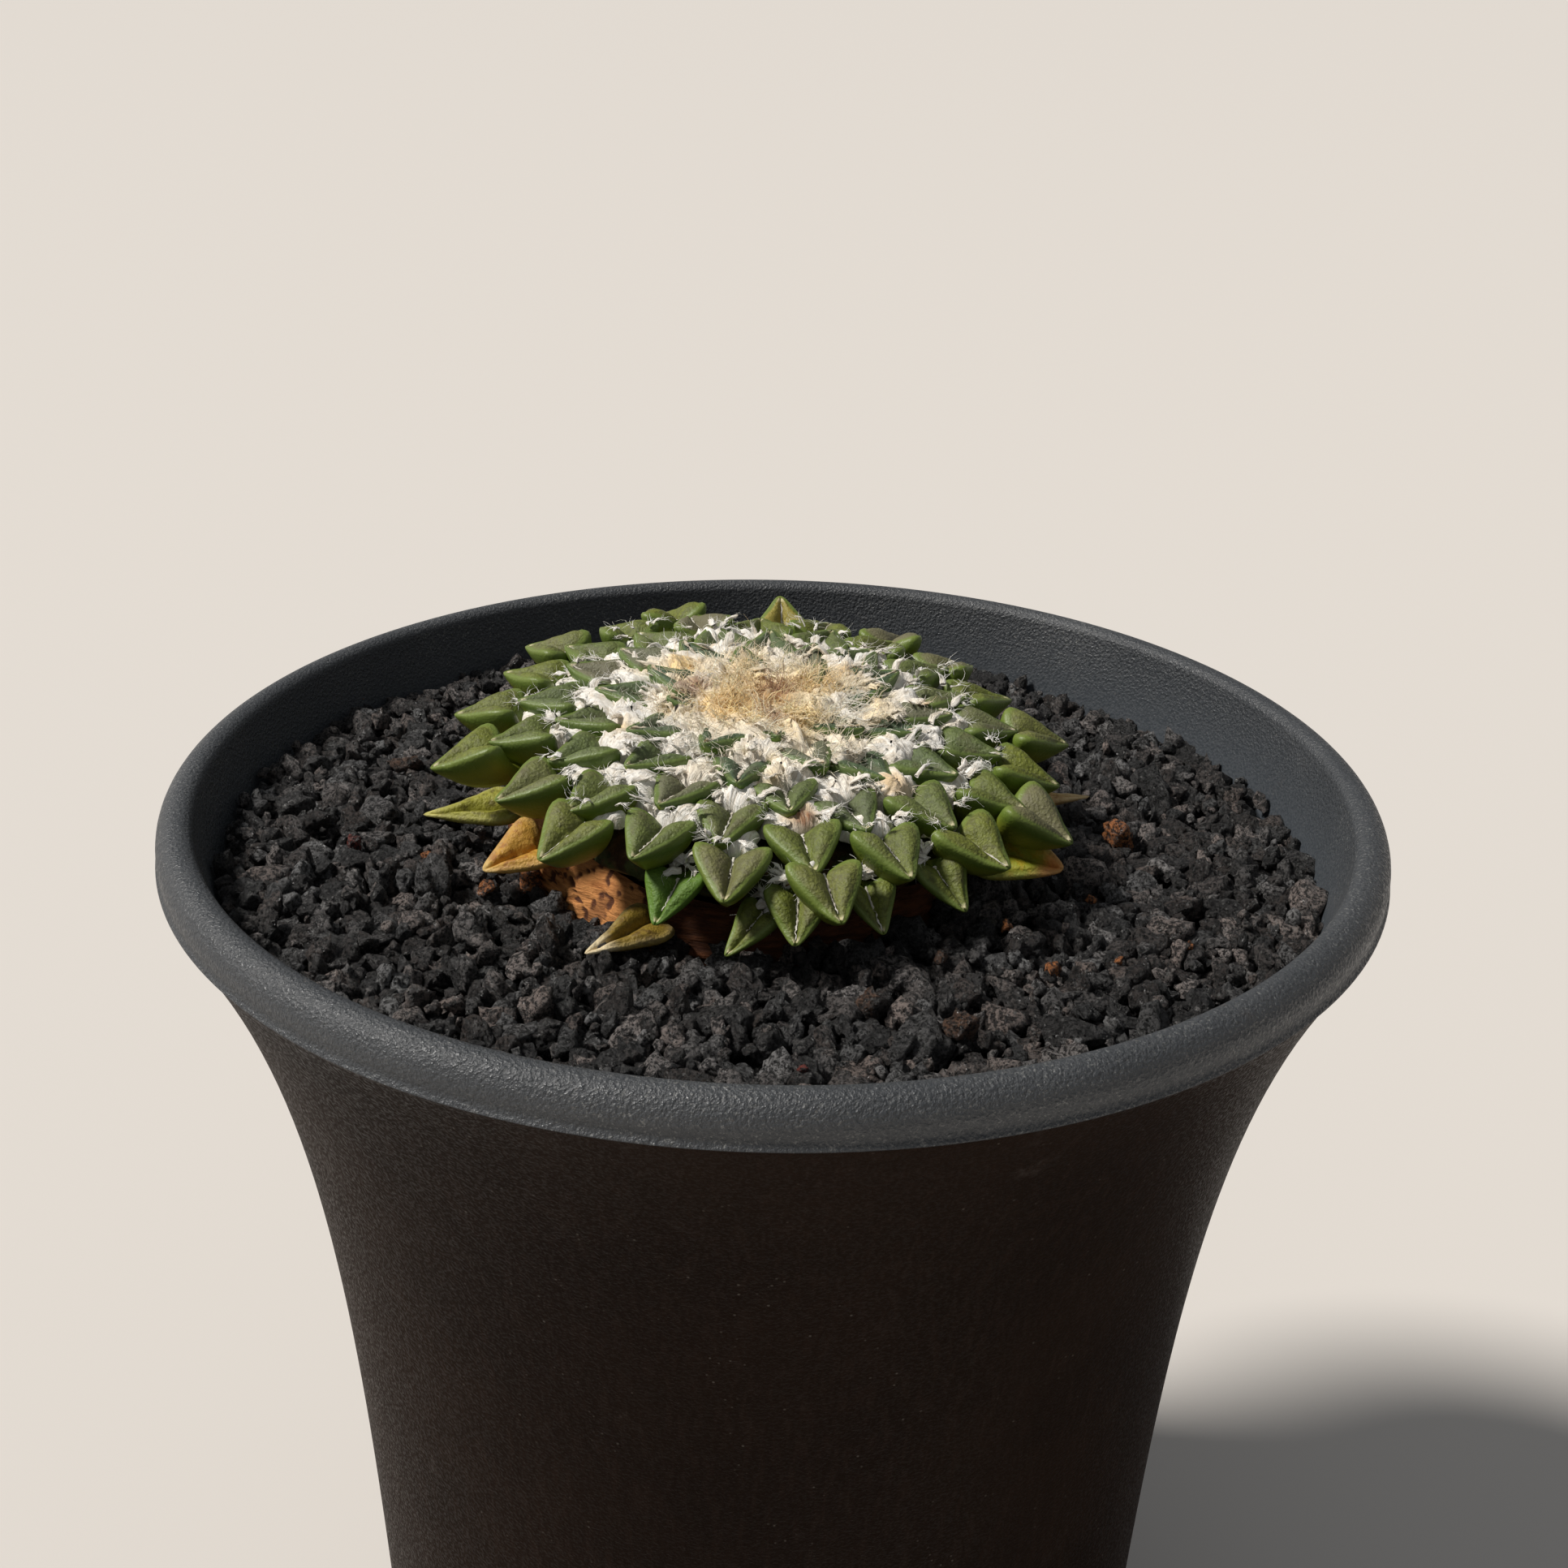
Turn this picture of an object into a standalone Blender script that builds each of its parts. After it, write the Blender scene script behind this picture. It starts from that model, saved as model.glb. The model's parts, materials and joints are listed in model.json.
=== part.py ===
"""Potted living rock cactus: a furrowed rosette on a woody neck, in lava grit, in a flared plastic pot.

Sizes are in millimetres and are scaled to metres where a mesh is made. The origin is at the middle of
the pot's foot, +Z is up, and the side that faces the viewer looks toward -Y.
"""
import math
import random

import bmesh
import bpy
from mathutils import Matrix, Vector

MM = 0.001
CLEAR = 0.3

# Pot
RIM_TOP = 108.0
RIM_RADIUS = 52.5
RIM_INNER_RADIUS = 49.45
RIM_INNER_DROP = 1.0
BEAD_CROWN_RADIUS = 50.6
BEAD_SHOULDER_DROP = 2.1
BEAD_STEPS = 3
PARTING_DROP = 3.4
WALL_RADIUS = 40.33
WALL_TAPER = 0.0207
FLARE = 12.13
FLARE_LENGTH = 22.76
WALL_THICKNESS = 2.0
LIP_DEPTH = 9.4
FOOT_HEIGHT = 3.0
FOOT_WIDTH = 3.6
FOOT_CHAMFER = 0.8
FLOOR_THICKNESS = 2.5
POT_SIDES = 48
WALL_LEVELS = (22.0, 42.0, 60.0, 74.0, 85.0, 93.0, 99.0)
INNER_LEVELS = (88.0, 72.0, 45.0)
DRAIN_SLOTS = 6
DRAIN_WIDTH = 3.0
DRAIN_LENGTH = 11.0
DRAIN_RADIUS = 24.0

# Grit
GRIT_LEVEL = RIM_TOP - 6.2
GRIT_SLOPE_X = -0.028
GRIT_SLOPE_Y = -0.012
GRIT_HOLLOW = 1.0
GRIT_BANK = 0.9
GRIT_HOLLOW_AZIMUTH = math.radians(238)
NEAR_RADIUS = 23.0
FAR_RADIUS = 33.0
GRAIN_PITCH = 6.5
GRAIN_SHIFT = 0.42
GRAIN_DEPTH = 1.9
GRAIN_DEPTH_SPREAD = 0.5
GRAIN_SINK = 0.9
GRAIN_LIFT = 0.36
GRAIN_TILT = 0.25
GRAIN_TOP_SHARE = (0.55, 0.78)
GRAIN_EDGE_DROP = (0.1, 0.5)
GRAIN_CROWN = 0.35
GRAIN_SEED = 11

# The plant's own frame: its middle on the rim plane, leaning to the front and a little to the right
PLANT_X = -1.3
PLANT_Y = 0.5
LEAN_FRONT = math.radians(4.6)
LEAN_RIGHT = math.radians(2.9)

# Taproot: height in the plant's frame and radius, down the neck and the turnip below it
ROOT_PROFILE = ((-2.9, 19.6), (-4.2, 21.4), (-6.4, 22.4), (-9.0, 21.8), (-14.0, 19.0), (-22.0, 15.0),
                (-34.0, 9.0), (-46.0, 3.6), (-52.0, 1.2))
ROOT_SIDES = 36
CRACKED_ROWS = 6
BARK_DEPTH = 0.9
RUNNING_CRACK_SHARE = 0.6
BARK_SEED = 5

# The pocket in the grit follows the turnip up to its shoulder and goes straight up from there
POCKET_SHOULDER = -5.0
POCKET_TOP = 12.0

# Rosette: the core as height and radius, and one spiral of tubercles whose first few stay under the wool
TUBERCLES = 68
HIDDEN_TUBERCLES = 5.0
DIVERGENCE = math.radians(137.24)
FIRST_AZIMUTH = math.radians(276.1)
SPREAD_POWER = 0.505
TIP_RADIUS = 29.2
CROWN_TIP_HEIGHT = 7.2
TIP_FALL = 6.0
CORE_PROFILE = ((-2.6, 19.8), (-1.0, 21.4), (0.8, 20.0), (2.2, 15.0), (3.6, 8.0), (4.2, 1.0))
CORE_SIDES = 28
SPROUT_SEED = 5
TIP_SHIFT = 0.25
AZIMUTH_SHIFT = 0.02
SLOPE_SHIFT = 2.0

# Slope in degrees, length, width and depth of a tubercle: at the middle, and the change out to the edge
CROWN_SLOPE = 26.0
SLOPE_FALL = 50.0
SLOPE_POWER = 1.4
CROWN_LENGTH = 4.4
LENGTH_GAIN = 1.8
CROWN_WIDTH = 4.1
WIDTH_GAIN = 2.4
CROWN_DEPTH = 3.6
DEPTH_GAIN = 1.0

# Stations of a tubercle: share of its length from the tip, share of its half width, then the drop of the
# top, the depth of the furrow and the depth of the keel as shares of its depth. The first is the root.
ROOT_STATION = (1.35, 0.45, 0.55, 0.06, 1.0)
BODY_STATIONS = ((1.0, 0.74, 0.06, 0.28, 1.0), (0.74, 1.0, 0.0, 0.22, 0.92), (0.12, 0.24, 0.0, 0.06, 0.22))
FLANK_FOLD = 0.62
FLANK_TUCK = 0.55
WEDGE_TUCK = 0.7
TIP_DROP = 0.1

# Low tubercles under the edge: tip from the pot's axis and the rim plane, azimuth, slope, length, width
LOW_TUBERCLES = (
    ((2.0, -26.8, -3.2), 272, -38, 5.4, 5.6),
    ((-9.0, -23.9, -3.3), 247, -38, 5.2, 5.2),
    ((-3.4, -25.6, -5.0), 228, -36, 5.4, 3.8),
    ((15.4, -20.6, -3.2), 310, -36, 5.4, 5.0),
    ((8.6, -24.0, -3.6), 292, -40, 5.0, 4.6),
    ((21.0, 15.4, -3.4), 34, -34, 5.4, 4.8),
    ((2.5, 26.4, -2.6), 82, -36, 5.4, 4.8),
    ((-20.5, 18.6, -2.4), 136, -36, 5.4, 4.8),
)
LOW_DEPTH = 2.1

# Old tubercles, each lying against the neck: tip, azimuth, slope, length, width
OLD_TUBERCLES = (
    ((-30.2, -6.0, -3.2), 190, -6, 8.2, 4.2),
    ((-23.9, -14.2, -3.9), 206, -18, 5.9, 4.6),
    ((-14.6, -25.6, -4.9), 225, -3, 8.2, 3.6),
    ((24.0, -12.4, -3.7), 331, -8, 7.0, 4.4),
    ((28.4, 2.4, -3.9), 4, -4, 8.7, 3.8),
)
OLD_DEPTH = 1.4

# Crown wool: distance from the plant's middle and height, in the plant's frame
WOOL_PROFILE = ((0.0, 6.3), (5.0, 6.7), (10.0, 5.3), (15.0, 4.0), (20.0, 2.3))
WOOL_SIDES = 24
WOOL_TUFT = 0.55
WOOL_BOTTOM = -0.5
WOOL_SEED = 23

COLOURS = {
    "pot": (0.018, 0.017, 0.018, 0.55),
    "grit": (0.020, 0.019, 0.019, 0.85),
    "taproot": (0.30, 0.12, 0.045, 0.80),
    "rosette": (0.085, 0.135, 0.040, 0.50),
    "crown_wool": (0.72, 0.62, 0.48, 0.95),
    "old_tubercle_1": (0.36, 0.34, 0.04, 0.60),
    "old_tubercle_2": (0.50, 0.22, 0.03, 0.60),
    "old_tubercle_3": (0.62, 0.44, 0.20, 0.80),
    "old_tubercle_4": (0.40, 0.30, 0.04, 0.60),
    "old_tubercle_5": (0.55, 0.36, 0.14, 0.75),
}


def clear_scene():
    for item in list(bpy.data.objects):
        bpy.data.objects.remove(item, do_unlink=True)


def coloured(name):
    red, green, blue, roughness = COLOURS[name]
    material = bpy.data.materials.new(name)
    material.use_nodes = True
    shader = material.node_tree.nodes["Principled BSDF"]
    shader.inputs["Base Color"].default_value = (red, green, blue, 1.0)
    shader.inputs["Roughness"].default_value = roughness
    shader.inputs["Metallic"].default_value = 0.0
    return material


def solid(name, points, faces, material=None):
    """Make an object from points in millimetres and faces that close around it, split into flat triangles."""
    mesh = bpy.data.meshes.new(name)
    mesh.from_pydata([Vector(point) * MM for point in points], [], faces)
    shape = bmesh.new()
    shape.from_mesh(mesh)
    bmesh.ops.triangulate(shape, faces=shape.faces)
    bmesh.ops.recalc_face_normals(shape, faces=shape.faces)
    shape.to_mesh(mesh)
    shape.free()
    item = bpy.data.objects.new(name, mesh)
    bpy.context.scene.collection.objects.link(item)
    if material:
        mesh.materials.append(material)
    return item


def turned(name, profile, sides, wobble=None, place=Matrix(), material=None):
    """Turn a profile of (radius, height) points about Z; its first and last points close on the axis."""
    points = [Vector((0.0, 0.0, profile[0][1]))]
    for row, (radius, height) in enumerate(profile):
        for side in range(sides):
            angle = 2.0 * math.pi * side / sides
            reach = radius - (wobble(row, side) if wobble else 0.0)
            points.append(Vector((reach * math.cos(angle), reach * math.sin(angle), height)))
    points.append(Vector((0.0, 0.0, profile[-1][1])))
    last = len(points) - 1
    faces = []
    for side in range(sides):
        after = (side + 1) % sides
        faces.append((0, 1 + side, 1 + after))
        for row in range(len(profile) - 1):
            low = 1 + row * sides
            high = low + sides
            faces.append((low + side, high + side, high + after, low + after))
        faces.append((last, last - sides + after, last - sides + side))
    return solid(name, [place @ point for point in points], faces, material)


def apply_modifiers(item):
    graph = bpy.context.evaluated_depsgraph_get()
    mesh = bpy.data.meshes.new_from_object(item.evaluated_get(graph))
    item.modifiers.clear()
    item.data = mesh


def combine(item, operation, tools, solver="EXACT"):
    """Apply one Boolean of an object with a collection of tools, and remove the tools."""
    group = bpy.data.collections.new("tools")
    bpy.context.scene.collection.children.link(group)
    for tool in tools:
        bpy.context.scene.collection.objects.unlink(tool)
        group.objects.link(tool)
    step = item.modifiers.new("combine", "BOOLEAN")
    step.operation = operation
    step.operand_type = "COLLECTION"
    step.collection = group
    step.solver = solver
    apply_modifiers(item)
    for tool in tools:
        bpy.data.objects.remove(tool, do_unlink=True)
    bpy.data.collections.remove(group)


def keep_main_body(item):
    """Keep the largest closed skin: sealed hollows fill up and crumbs cut loose go."""
    shape = bmesh.new()
    shape.from_mesh(item.data)
    unseen = set(shape.verts)
    bodies = []
    while unseen:
        start = unseen.pop()
        body = {start}
        front = [start]
        while front:
            for edge in front.pop().link_edges:
                for vertex in edge.verts:
                    if vertex in unseen:
                        unseen.discard(vertex)
                        body.add(vertex)
                        front.append(vertex)
        bodies.append(body)

    def reach(body):
        spans = [[vertex.co[axis] for vertex in body] for axis in range(3)]
        return sum((max(span) - min(span)) ** 2 for span in spans)

    main = max(bodies, key=reach)
    loose = [vertex for body in bodies if body is not main for vertex in body]
    bmesh.ops.delete(shape, geom=loose, context="VERTS")
    shape.to_mesh(item.data)
    shape.free()


def wall_radius(height):
    """Outer radius of the flared wall at a height above the ground."""
    depth = RIM_TOP - PARTING_DROP - height
    return WALL_RADIUS - WALL_TAPER * depth + FLARE * math.exp(-depth / FLARE_LENGTH)


def inner_profile():
    """The inside of the pot as (radius, height), from under the lip to the floor."""
    lip_height = RIM_TOP - LIP_DEPTH
    floor = FOOT_HEIGHT + FLOOR_THICKNESS
    levels = (lip_height,) + INNER_LEVELS + (floor,)
    return [(wall_radius(level) - WALL_THICKNESS, level) for level in levels]


def make_pot():
    foot_radius = wall_radius(0.0)
    parting = RIM_TOP - PARTING_DROP
    profile = [(foot_radius - FOOT_WIDTH, FOOT_HEIGHT), (foot_radius - FOOT_WIDTH, 0.0)]
    profile += [(foot_radius - FOOT_CHAMFER, 0.0), (wall_radius(FOOT_CHAMFER), FOOT_CHAMFER)]
    profile += [(wall_radius(level), level) for level in WALL_LEVELS]
    profile.append((wall_radius(parting), parting))
    for step in range(BEAD_STEPS + 1):
        angle = 0.5 * math.pi * step / BEAD_STEPS
        radius = BEAD_CROWN_RADIUS + (RIM_RADIUS - BEAD_CROWN_RADIUS) * math.cos(angle)
        profile.append((radius, RIM_TOP - BEAD_SHOULDER_DROP * (1.0 - math.sin(angle))))
    profile.append((RIM_INNER_RADIUS, RIM_TOP - RIM_INNER_DROP))
    profile += inner_profile()
    pot = turned("pot", profile, POT_SIDES, material=coloured("pot"))
    slots = []
    for index in range(DRAIN_SLOTS):
        angle = 2.0 * math.pi * index / DRAIN_SLOTS
        turn = Matrix.Rotation(angle, 4, "Z") @ Matrix.Translation((DRAIN_RADIUS, 0.0, FOOT_HEIGHT))
        corners = [turn @ Vector((x * DRAIN_LENGTH / 2, y * DRAIN_WIDTH / 2, z * 2 * FLOOR_THICKNESS))
                   for x in (-1, 1) for y in (-1, 1) for z in (-1, 1)]
        faces = ((0, 1, 3, 2), (4, 6, 7, 5), (0, 4, 5, 1), (2, 3, 7, 6), (0, 2, 6, 4), (1, 5, 7, 3))
        slots.append(solid("drain_slot", corners, faces))
    combine(pot, "DIFFERENCE", slots)
    pot.data.shade_smooth()
    pot.data.set_sharp_from_angle(angle=math.radians(40))


def plant_place():
    """The plant's frame, measured from the pot's origin."""
    lean = Matrix.Rotation(LEAN_FRONT, 4, "X") @ Matrix.Rotation(LEAN_RIGHT, 4, "Y")
    return Matrix.Translation((PLANT_X, PLANT_Y, RIM_TOP)) @ lean


def grit_height(x, y):
    """Height of the grain tops: hollowed where the neck shows at the front left, banked up behind it."""
    distance = math.hypot(x - PLANT_X, y - PLANT_Y)
    near = min(1.0, max(0.0, (FAR_RADIUS - distance) / (FAR_RADIUS - NEAR_RADIUS)))
    facing = math.cos(math.atan2(y - PLANT_Y, x - PLANT_X) - GRIT_HOLLOW_AZIMUTH)
    shift = GRIT_BANK * (1.0 - facing) / 2 - GRIT_HOLLOW * (1.0 + facing) / 2
    return GRIT_LEVEL + GRIT_SLOPE_X * x + GRIT_SLOPE_Y * y + near * shift


def make_grit():
    """A slab whose top is a field of angular grains, cut to the pot's inside and to the root's pocket."""
    dice = random.Random(GRAIN_SEED)
    corner_reach = GRAIN_PITCH / math.sqrt(3.0)
    reach = int(RIM_RADIUS / GRAIN_PITCH) + 3
    corners = {}
    points = []
    faces = []

    def corner(x, y):
        key = (round(x / corner_reach * 4), round(y / corner_reach * 4))
        if key not in corners:
            shift = GRAIN_SHIFT * corner_reach
            spot = (x + dice.uniform(-shift, shift), y + dice.uniform(-shift, shift))
            corners[key] = len(points)
            crevice = GRAIN_DEPTH + dice.uniform(0.0, GRAIN_DEPTH_SPREAD)
            points.append(Vector((*spot, grit_height(*spot) - crevice)))
        return corners[key]

    for row in range(-reach, reach + 1):
        for column in range(-reach, reach + 1):
            x = GRAIN_PITCH * (column + 0.5 * (row % 2))
            y = GRAIN_PITCH * row * math.sqrt(3.0) / 2
            if math.hypot(x, y) > RIM_RADIUS + 2 * GRAIN_PITCH:
                continue
            ring = [corner(x + corner_reach * math.cos(math.pi * (k + 0.5) / 3),
                           y + corner_reach * math.sin(math.pi * (k + 0.5) / 3)) for k in range(6)]
            middle = sum((points[index] for index in ring), Vector()) / 6
            top = grit_height(middle.x, middle.y) + dice.uniform(-GRAIN_SINK, GRAIN_LIFT)
            tilt_x = dice.uniform(-GRAIN_TILT, GRAIN_TILT)
            tilt_y = dice.uniform(-GRAIN_TILT, GRAIN_TILT)
            start = len(points)
            for index in ring:
                spread = points[index] - middle
                spot = middle + spread * dice.uniform(*GRAIN_TOP_SHARE)
                lift = tilt_x * spread.x + tilt_y * spread.y - dice.uniform(*GRAIN_EDGE_DROP)
                points.append(Vector((spot.x, spot.y, top + lift)))
            points.append(Vector((middle.x, middle.y, top + GRAIN_CROWN)))
            for k in range(6):
                after = (k + 1) % 6
                faces.append((ring[k], ring[after], start + after))
                faces.append((ring[k], start + after, start + k))
                faces.append((start + k, start + after, start + 6))
    grit = solid("grit", points, faces, coloured("grit"))
    close_below(grit, FOOT_HEIGHT)
    pot_inside = [(radius - CLEAR, height) for radius, height in inner_profile()]
    floor_radius, floor = pot_inside[-1]
    pot_inside[-1] = (floor_radius, floor + CLEAR)
    pot_inside.insert(0, (RIM_INNER_RADIUS - CLEAR, RIM_TOP - RIM_INNER_DROP))
    pot_inside.reverse()
    combine(grit, "INTERSECT", [turned("pot_inside", pot_inside, POT_SIDES)])
    pocket = [(radius + CLEAR, height) for height, radius in reversed(ROOT_PROFILE)]
    pocket[0] = (pocket[0][0], pocket[0][1] - CLEAR)
    neck = max(radius for radius, height in pocket)
    pocket = [(radius, height) for radius, height in pocket if height < POCKET_SHOULDER]
    pocket.append((neck, POCKET_TOP))
    combine(grit, "DIFFERENCE", [turned("root_pocket", pocket, ROOT_SIDES, place=plant_place())])
    keep_main_body(grit)


def close_below(item, bottom):
    """Close an open relief with upright sides and one flat face at the bottom height."""
    shape = bmesh.new()
    shape.from_mesh(item.data)
    rim = [edge for edge in shape.edges if edge.is_boundary]
    grown = bmesh.ops.extrude_edge_only(shape, edges=rim)
    for part in grown["geom"]:
        if isinstance(part, bmesh.types.BMVert):
            part.co.z = bottom * MM
    base = [edge for edge in shape.edges if edge.is_boundary]
    bmesh.ops.contextual_create(shape, geom=base)
    bmesh.ops.recalc_face_normals(shape, faces=shape.faces)
    shape.to_mesh(item.data)
    shape.free()


def make_taproot():
    """The cracked neck and the turnip below it; cracks run down the sides of the neck."""
    dice = random.Random(BARK_SEED)
    cracks = [[dice.uniform(0.0, BARK_DEPTH) for side in range(ROOT_SIDES)] for row in ROOT_PROFILE]
    profile = [(radius, height) for height, radius in ROOT_PROFILE]

    def crack(row, side):
        running = RUNNING_CRACK_SHARE * cracks[0][side] + (1.0 - RUNNING_CRACK_SHARE) * cracks[row][side]
        return running if row < CRACKED_ROWS else 0.0

    turned("taproot", profile, ROOT_SIDES, crack, plant_place(), coloured("taproot"))


def heading(azimuth, slope):
    """Unit vector at an azimuth about Z and a slope above the horizontal."""
    return Vector((math.cos(azimuth) * math.cos(slope), math.sin(azimuth) * math.cos(slope), math.sin(slope)))


def tubercle(name, tip, azimuth, slope, length, width, depth, grow=0.0, rooted=True, material=None):
    """One arrow-shaped tubercle that ends at tip, with a furrow down its top and a keel below.

    A grown one is a plain wedge that clears the tubercle by the same margin on all sides.
    """
    stations = ((ROOT_STATION,) if rooted else ()) + BODY_STATIONS
    out = heading(azimuth, slope)
    side = Vector((-math.sin(azimuth), math.cos(azimuth), 0.0))
    up = out.cross(side)
    points = []
    for share, wide, drop, furrow, keel in stations:
        half = 0.5 * width * wide
        deep = depth * keel
        top = -depth * drop
        fold = min(-FLANK_FOLD * deep, 0.5 * (top - deep))
        if grow:
            low = WEDGE_TUCK * half + grow
            outline = ((half + grow, grow + top), (low, -deep - grow), (-low, -deep - grow),
                       (-half - grow, grow + top))
        else:
            tuck = FLANK_TUCK * half
            outline = ((0.0, top - furrow * depth), (half, top), (tuck, fold), (0.0, -deep), (-tuck, fold),
                       (-half, top))
        back = share * length + (grow if share > 1.0 else 0.0)
        points += [tip - out * back + side * across + up * rise for across, rise in outline]
    points.append(tip + out * 2.0 * grow - up * TIP_DROP)
    count = len(outline)
    rows = len(stations)
    faces = [tuple(range(count))]
    for row in range(rows):
        start = count * row
        for k in range(count):
            after = (k + 1) % count
            if row < rows - 1:
                faces.append((start + k, start + after, start + count + after, start + count + k))
            else:
                faces.append((start + k, start + after, start + count))
    return solid(name, points, faces, material)


def spiral_tubercles():
    """Tip, azimuth, slope, length, width and depth of each tubercle, from the crown outward."""
    dice = random.Random(SPROUT_SEED)
    place = plant_place()
    lean = place.to_3x3()
    for index in range(TUBERCLES):
        share = (index + HIDDEN_TUBERCLES) / (TUBERCLES - 1 + HIDDEN_TUBERCLES)
        reach = share ** SPREAD_POWER
        radius = TIP_RADIUS * reach + dice.uniform(-TIP_SHIFT, TIP_SHIFT)
        azimuth = FIRST_AZIMUTH + DIVERGENCE * index + dice.uniform(-AZIMUTH_SHIFT, AZIMUTH_SHIFT)
        height = CROWN_TIP_HEIGHT - TIP_FALL * reach ** 2
        tip = place @ Vector((radius * math.cos(azimuth), radius * math.sin(azimuth), height))
        slope = CROWN_SLOPE - SLOPE_FALL * reach ** SLOPE_POWER + dice.uniform(-SLOPE_SHIFT, SLOPE_SHIFT)
        out = lean @ heading(azimuth, math.radians(slope))
        length = CROWN_LENGTH + LENGTH_GAIN * reach
        width = CROWN_WIDTH + WIDTH_GAIN * reach
        depth = CROWN_DEPTH + DEPTH_GAIN * reach
        yield tip, math.atan2(out.y, out.x), math.asin(out.z), length, width, depth


def rosette_parts(name, grow):
    """The green core and its tubercles, all grown by the same margin."""
    core = [(radius + grow, height - (grow if height < 0 else -grow)) for height, radius in CORE_PROFILE]
    parts = [turned(name, core, CORE_SIDES, place=plant_place())]
    for tip, azimuth, slope, length, width, depth in spiral_tubercles():
        parts.append(tubercle("sprout", tip, azimuth, slope, length, width, depth, grow))
    for (x, y, z), azimuth, slope, length, width in LOW_TUBERCLES:
        tip = Vector((x, y, RIM_TOP + z))
        turn = (math.radians(azimuth), math.radians(slope))
        parts.append(tubercle("sprout", tip, *turn, length, width, LOW_DEPTH, grow))
    return parts


def make_rosette():
    parts = rosette_parts("rosette", 0.0)
    rosette = parts[0]
    # The exact solver leaves open edges where the roots of many tubercles meet.
    combine(rosette, "UNION", parts[1:], "MANIFOLD")
    keep_main_body(rosette)
    rosette.data.materials.clear()
    rosette.data.materials.append(coloured("rosette"))


def make_old_tubercles():
    for number, ((x, y, z), azimuth, slope, length, width) in enumerate(OLD_TUBERCLES, start=1):
        name = f"old_tubercle_{number}"
        tip = Vector((x, y, RIM_TOP + z))
        turn = (math.radians(azimuth), math.radians(slope))
        tubercle(name, tip, *turn, length, width, OLD_DEPTH, rooted=False, material=coloured(name))


def make_crown_wool():
    """A tufted cap over the crown and its axils, cut clear of every tubercle that stands through it."""
    dice = random.Random(WOOL_SEED)
    profile = [(WOOL_PROFILE[-1][0], WOOL_BOTTOM)]
    profile += [(radius, height) for radius, height in reversed(WOOL_PROFILE[1:])]
    tufts = [[dice.uniform(-WOOL_TUFT, WOOL_TUFT) for side in range(WOOL_SIDES)] for row in profile]
    place = plant_place()
    points = [place @ Vector((0.0, 0.0, WOOL_BOTTOM))]
    for row, (radius, height) in enumerate(profile):
        for side in range(WOOL_SIDES):
            angle = 2.0 * math.pi * (side + 0.5 * (row % 2)) / WOOL_SIDES
            lift = tufts[row][side] if row > 1 else 0.0
            points.append(place @ Vector((radius * math.cos(angle), radius * math.sin(angle), height + lift)))
    points.append(place @ Vector((0.0, 0.0, WOOL_PROFILE[0][1])))
    last = len(points) - 1
    faces = []
    for side in range(WOOL_SIDES):
        after = (side + 1) % WOOL_SIDES
        faces.append((0, 1 + side, 1 + after))
        for row in range(len(profile) - 1):
            low = 1 + row * WOOL_SIDES
            high = low + WOOL_SIDES
            if row % 2:
                faces.append((low + side, high + side, low + after))
                faces.append((high + side, high + after, low + after))
            else:
                faces.append((low + side, high + side, high + after))
                faces.append((low + side, high + after, low + after))
        faces.append((last, last - WOOL_SIDES + after, last - WOOL_SIDES + side))
    wool = solid("crown_wool", points, faces)
    combine(wool, "DIFFERENCE", rosette_parts("grown_core", CLEAR))
    keep_main_body(wool)
    wool.data.materials.clear()
    wool.data.materials.append(coloured("crown_wool"))


clear_scene()
make_pot()
make_grit()
make_taproot()
make_rosette()
make_old_tubercles()
make_crown_wool()
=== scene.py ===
"""The looks of the potted living rock cactus: fine pieces that stand for the plain solids of the model.

Sizes are in millimetres and are scaled to metres where a mesh is made. The plant's own frame has its
middle on the rim plane, and leans a little to the front and to the right.
"""
import json
import math
import random

import bmesh
import bpy
import numpy as np
from mathutils import Matrix, Vector

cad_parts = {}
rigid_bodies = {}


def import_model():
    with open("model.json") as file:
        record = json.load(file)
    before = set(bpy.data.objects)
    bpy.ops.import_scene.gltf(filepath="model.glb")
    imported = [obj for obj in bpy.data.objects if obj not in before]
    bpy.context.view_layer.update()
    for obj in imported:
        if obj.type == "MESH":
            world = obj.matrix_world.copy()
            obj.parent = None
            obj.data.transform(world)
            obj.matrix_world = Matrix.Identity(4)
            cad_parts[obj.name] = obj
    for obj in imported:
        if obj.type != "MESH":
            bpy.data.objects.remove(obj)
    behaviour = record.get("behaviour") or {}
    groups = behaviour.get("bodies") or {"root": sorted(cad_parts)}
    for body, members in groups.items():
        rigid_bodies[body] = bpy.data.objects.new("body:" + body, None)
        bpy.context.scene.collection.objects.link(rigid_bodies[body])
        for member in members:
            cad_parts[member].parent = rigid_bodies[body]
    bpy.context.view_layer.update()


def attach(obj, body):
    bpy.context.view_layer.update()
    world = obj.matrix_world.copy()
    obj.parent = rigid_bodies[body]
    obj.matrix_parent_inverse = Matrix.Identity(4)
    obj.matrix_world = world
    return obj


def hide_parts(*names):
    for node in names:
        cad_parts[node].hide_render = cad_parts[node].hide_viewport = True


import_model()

MM = 0.001
TURN = 2.0 * math.pi

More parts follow.
